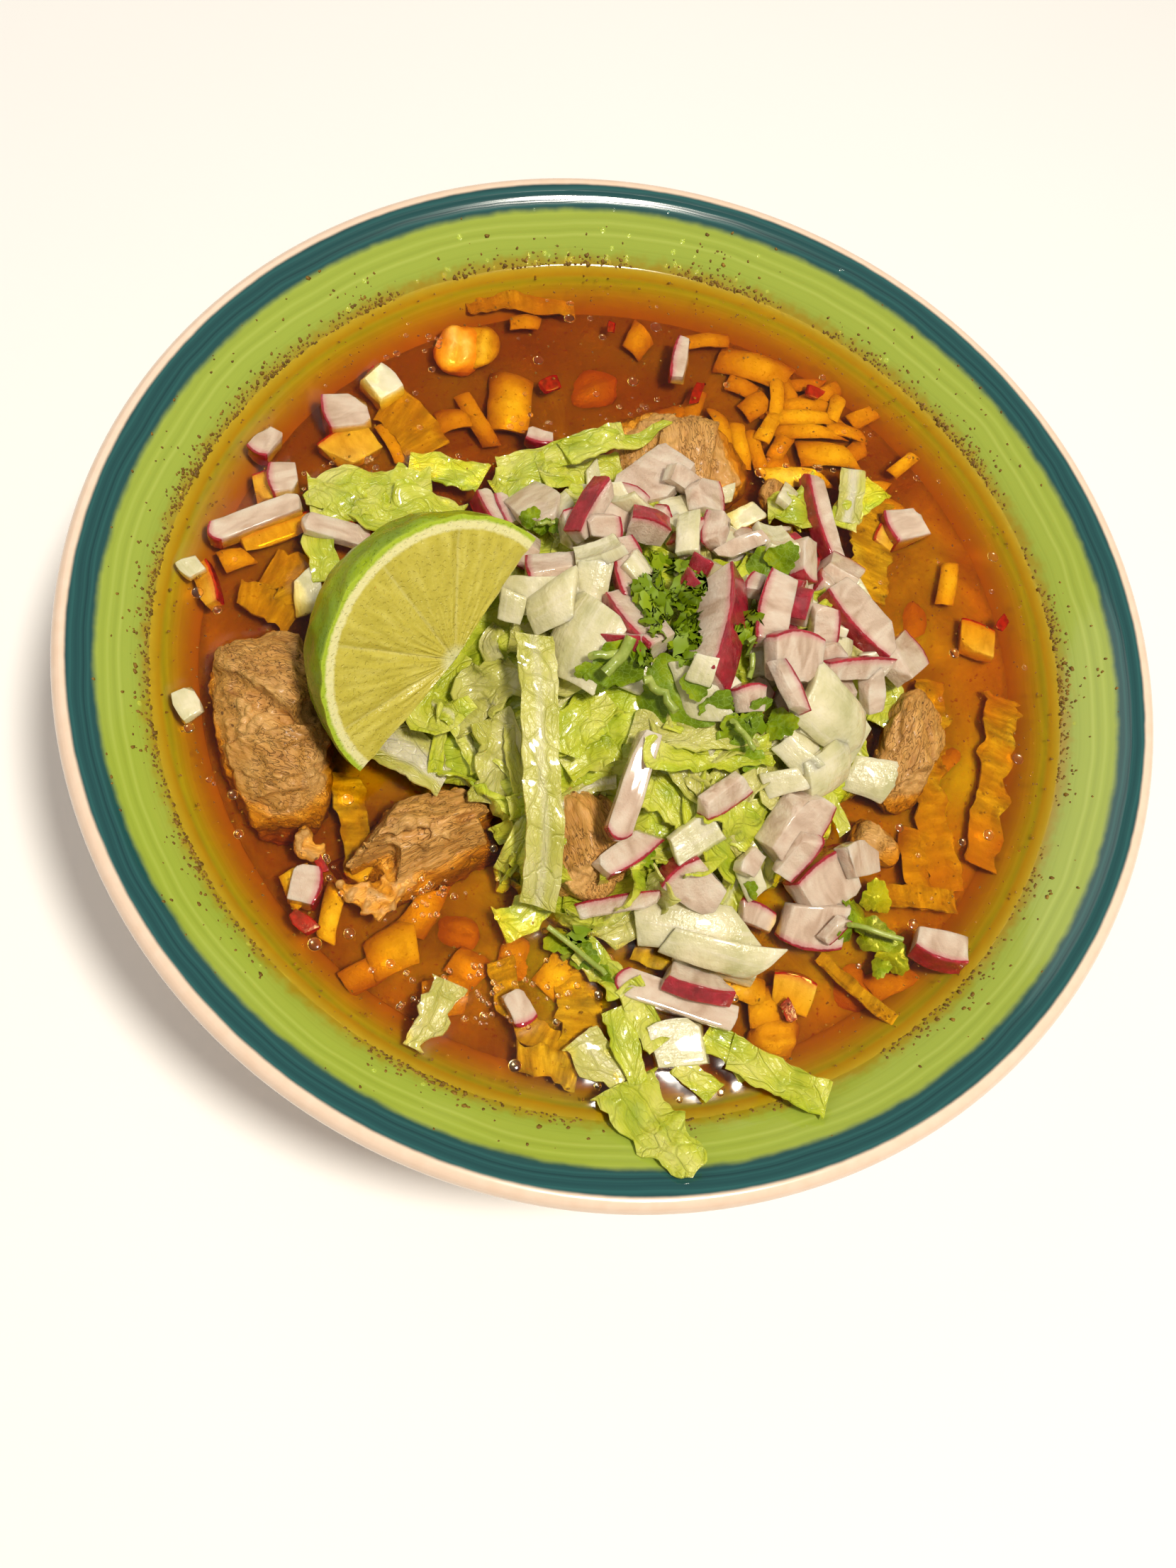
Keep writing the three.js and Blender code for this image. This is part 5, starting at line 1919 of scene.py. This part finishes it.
def wallSpot(angle, height, size):
    r0, r1 = wallRadius(height - 0.3), wallRadius(height + 0.3)
    slope = atan2(0.6, max(r1 - r0, 0.05))
    middle = Matrix.Translation(Vector((wallRadius(height) * mm, 0, height * mm)))
    placed = turnBy(angle) @ middle @ turnBy(-slope, "Y")
    return placed @ turnBy(uniform(0, 3.14)) @ Matrix.Scale(size * mm, 4)


def freeBroth(inner, outer):
    while True:
        angle = uniform(0, circle)
        radius = sqrt(uniform((inner / 85) ** 2, (outer / 85) ** 2)) * 85
        x, y = radius * cos(angle), radius * sin(angle)
        if heightAt(x, y) <= tops["under"]:
            return x, y


def chilliMaterial():
    newMaterial("groundChilli", Roughness=0.6)
    place = millimetres()
    tones = (0.35, (100, 72, 4)), (0.55, (128, 94, 10)), (0.7, (156, 116, 24))
    return paint(ramp(cloud(place, 0.6, 3.0), *tones), cloud(place, 5.0, 2.0), 0.1, 0.6)


def makeFlecks():
    places = []
    for number in range(3 * flecks["onWall"]):
        angle = uniform(0, circle)
        left, right = (cos(angle - radians(side)) for side in flecks["sides"])
        busy = 0.35 + 0.5 * max(0, left) + 0.5 * max(0, right)
        patchy = 0.5 + 1.1 * wobble((6 * cos(angle), 6 * sin(angle), 1))
        if random.random() > busy * patchy:
            continue
        climb = min(random.expovariate(1 / (0.7 if number % 5 else 2.6)), flecks["climb"])
        size = uniform(*flecks["wallSize"]) * (1.7 if random.random() < 0.06 else 1)
        places.append(wallSpot(angle, level + 0.4 + climb, size))
    for number in range(flecks["onBroth"]):
        x, y = freeBroth(*flecks["reach" if number % 3 else "shore"])
        size = uniform(*flecks["brothSize"])
        spot = overBroth(x, y, -uniform(-0.05, 1.2))
        places.append(spot @ turnBy(uniform(0, 6.28)) @ Matrix.Scale(size * mm, 4))
    piece = manyOf("chilli_flecks", grain("fleck", 0.45), places)
    finish(piece, chilliMaterial(), "broth", floats=False)
    print("flecks made")


def finishDrops(name, sides, rings, places, material, colour):
    bpy.ops.mesh.primitive_uv_sphere_add(segments=sides, ring_count=rings, radius=1)
    piece = manyOf(name, newest("drop"), places)
    finish(piece, clearMaterial(material, colour, Roughness=0.12, IOR=1.42), "broth", floats=False)


def flatDrop(x, y, size, flat):
    return overBroth(x, y) @ Matrix.Diagonal((size * mm, size * mm, flat * size * mm, 1))


def makeDrops():
    places = []
    for number in range(drops["fat"]):
        x, y = freeBroth(*drops["fatReach"])
        size = uniform(*drops["fatSize"]) ** 1.4
        places.append(flatDrop(x, y, size, uniform(*drops["flat"])))
    for middle, reach, count in drops["foam"]:
        for number in range(count):
            x, y = random.gauss(middle[0], reach[0] / 2), random.gauss(middle[1], reach[1] / 2)
            if heightAt(x, y) <= tops["under"] and hypot(x, y) <= drops["foamReach"]:
                size = uniform(*drops["bubbleSize"])
                places.append(flatDrop(x, y, size, uniform(0.25, 0.6)))
    finishDrops("fat_drops", 16, 10, places, "clearFat", (1.0, 0.86, 0.5, 1))
    places = []
    for number in range(drops["beads"]):
        angle = radians(random.gauss(*drops["beadsFace"]) if number % 3 else uniform(0, 360))
        height = level + (uniform(0.9, 2.2) if number % 4 else uniform(2, 9))
        size = uniform(*drops["beadSize"])
        places.append(wallSpot(angle, height, size) @ Matrix.Diagonal((1, 1, 0.55, 1)))
    finishDrops("wall_droplets", 14, 8, places, "clearDroplet", (1.0, 0.97, 0.9, 1))
    print("drops made")


makeFlecks()
makeDrops()
makeMurk()
makeBroth()
print("broth made")


# floor and lights

studio = {
    "floor": (0.93, 0.92, 0.90, 1),
    "floorPale": (0.95, 0.94, 0.92, 1),
    "world": {"Color": (1.0, 0.965, 0.91, 1), "Strength": 0.3},
    # place, size, power, colour
    "keyLight": ((0.17, -0.15, 0.92), 0.13, 7.9, (1.0, 0.93, 0.82)),
    "fillLight": ((-0.55, 0.7, 0.8), 0.9, 1.9, (1.0, 0.95, 0.88)),
}


def addLight(name):
    place, size, power, colour = studio[name]
    bpy.ops.object.light_add(type="AREA", location=place)
    light = newest(name)
    light.data.shape = "DISK"
    light.data.size = size
    light.data.energy = power
    light.data.color = colour
    light.rotation_euler = (-Vector(place)).to_track_quat("-Z", "Y").to_euler()


def makeStudio():
    bpy.ops.mesh.primitive_grid_add(size=6, x_subdivisions=4, y_subdivisions=4, location=(0, 0, -0.0004))
    floor = newest("studio_floor")
    newMaterial("paleFloor", Roughness=0.7)
    pale = cloud(millimetres(), 0.004, 3.0)
    floor.data.materials.append(paint(ramp(pale, (0.3, studio["floor"]), (0.7, studio["floorPale"]))))
    world = bpy.data.worlds.new("softRoom")
    world.use_nodes = True
    feed(world.node_tree.nodes["Background"], studio["world"])
    bpy.context.scene.world = world
    addLight("keyLight")
    addLight("fillLight")
    bpy.context.scene.view_settings.view_transform = "Standard"
    print("floor and lights set")


makeStudio()
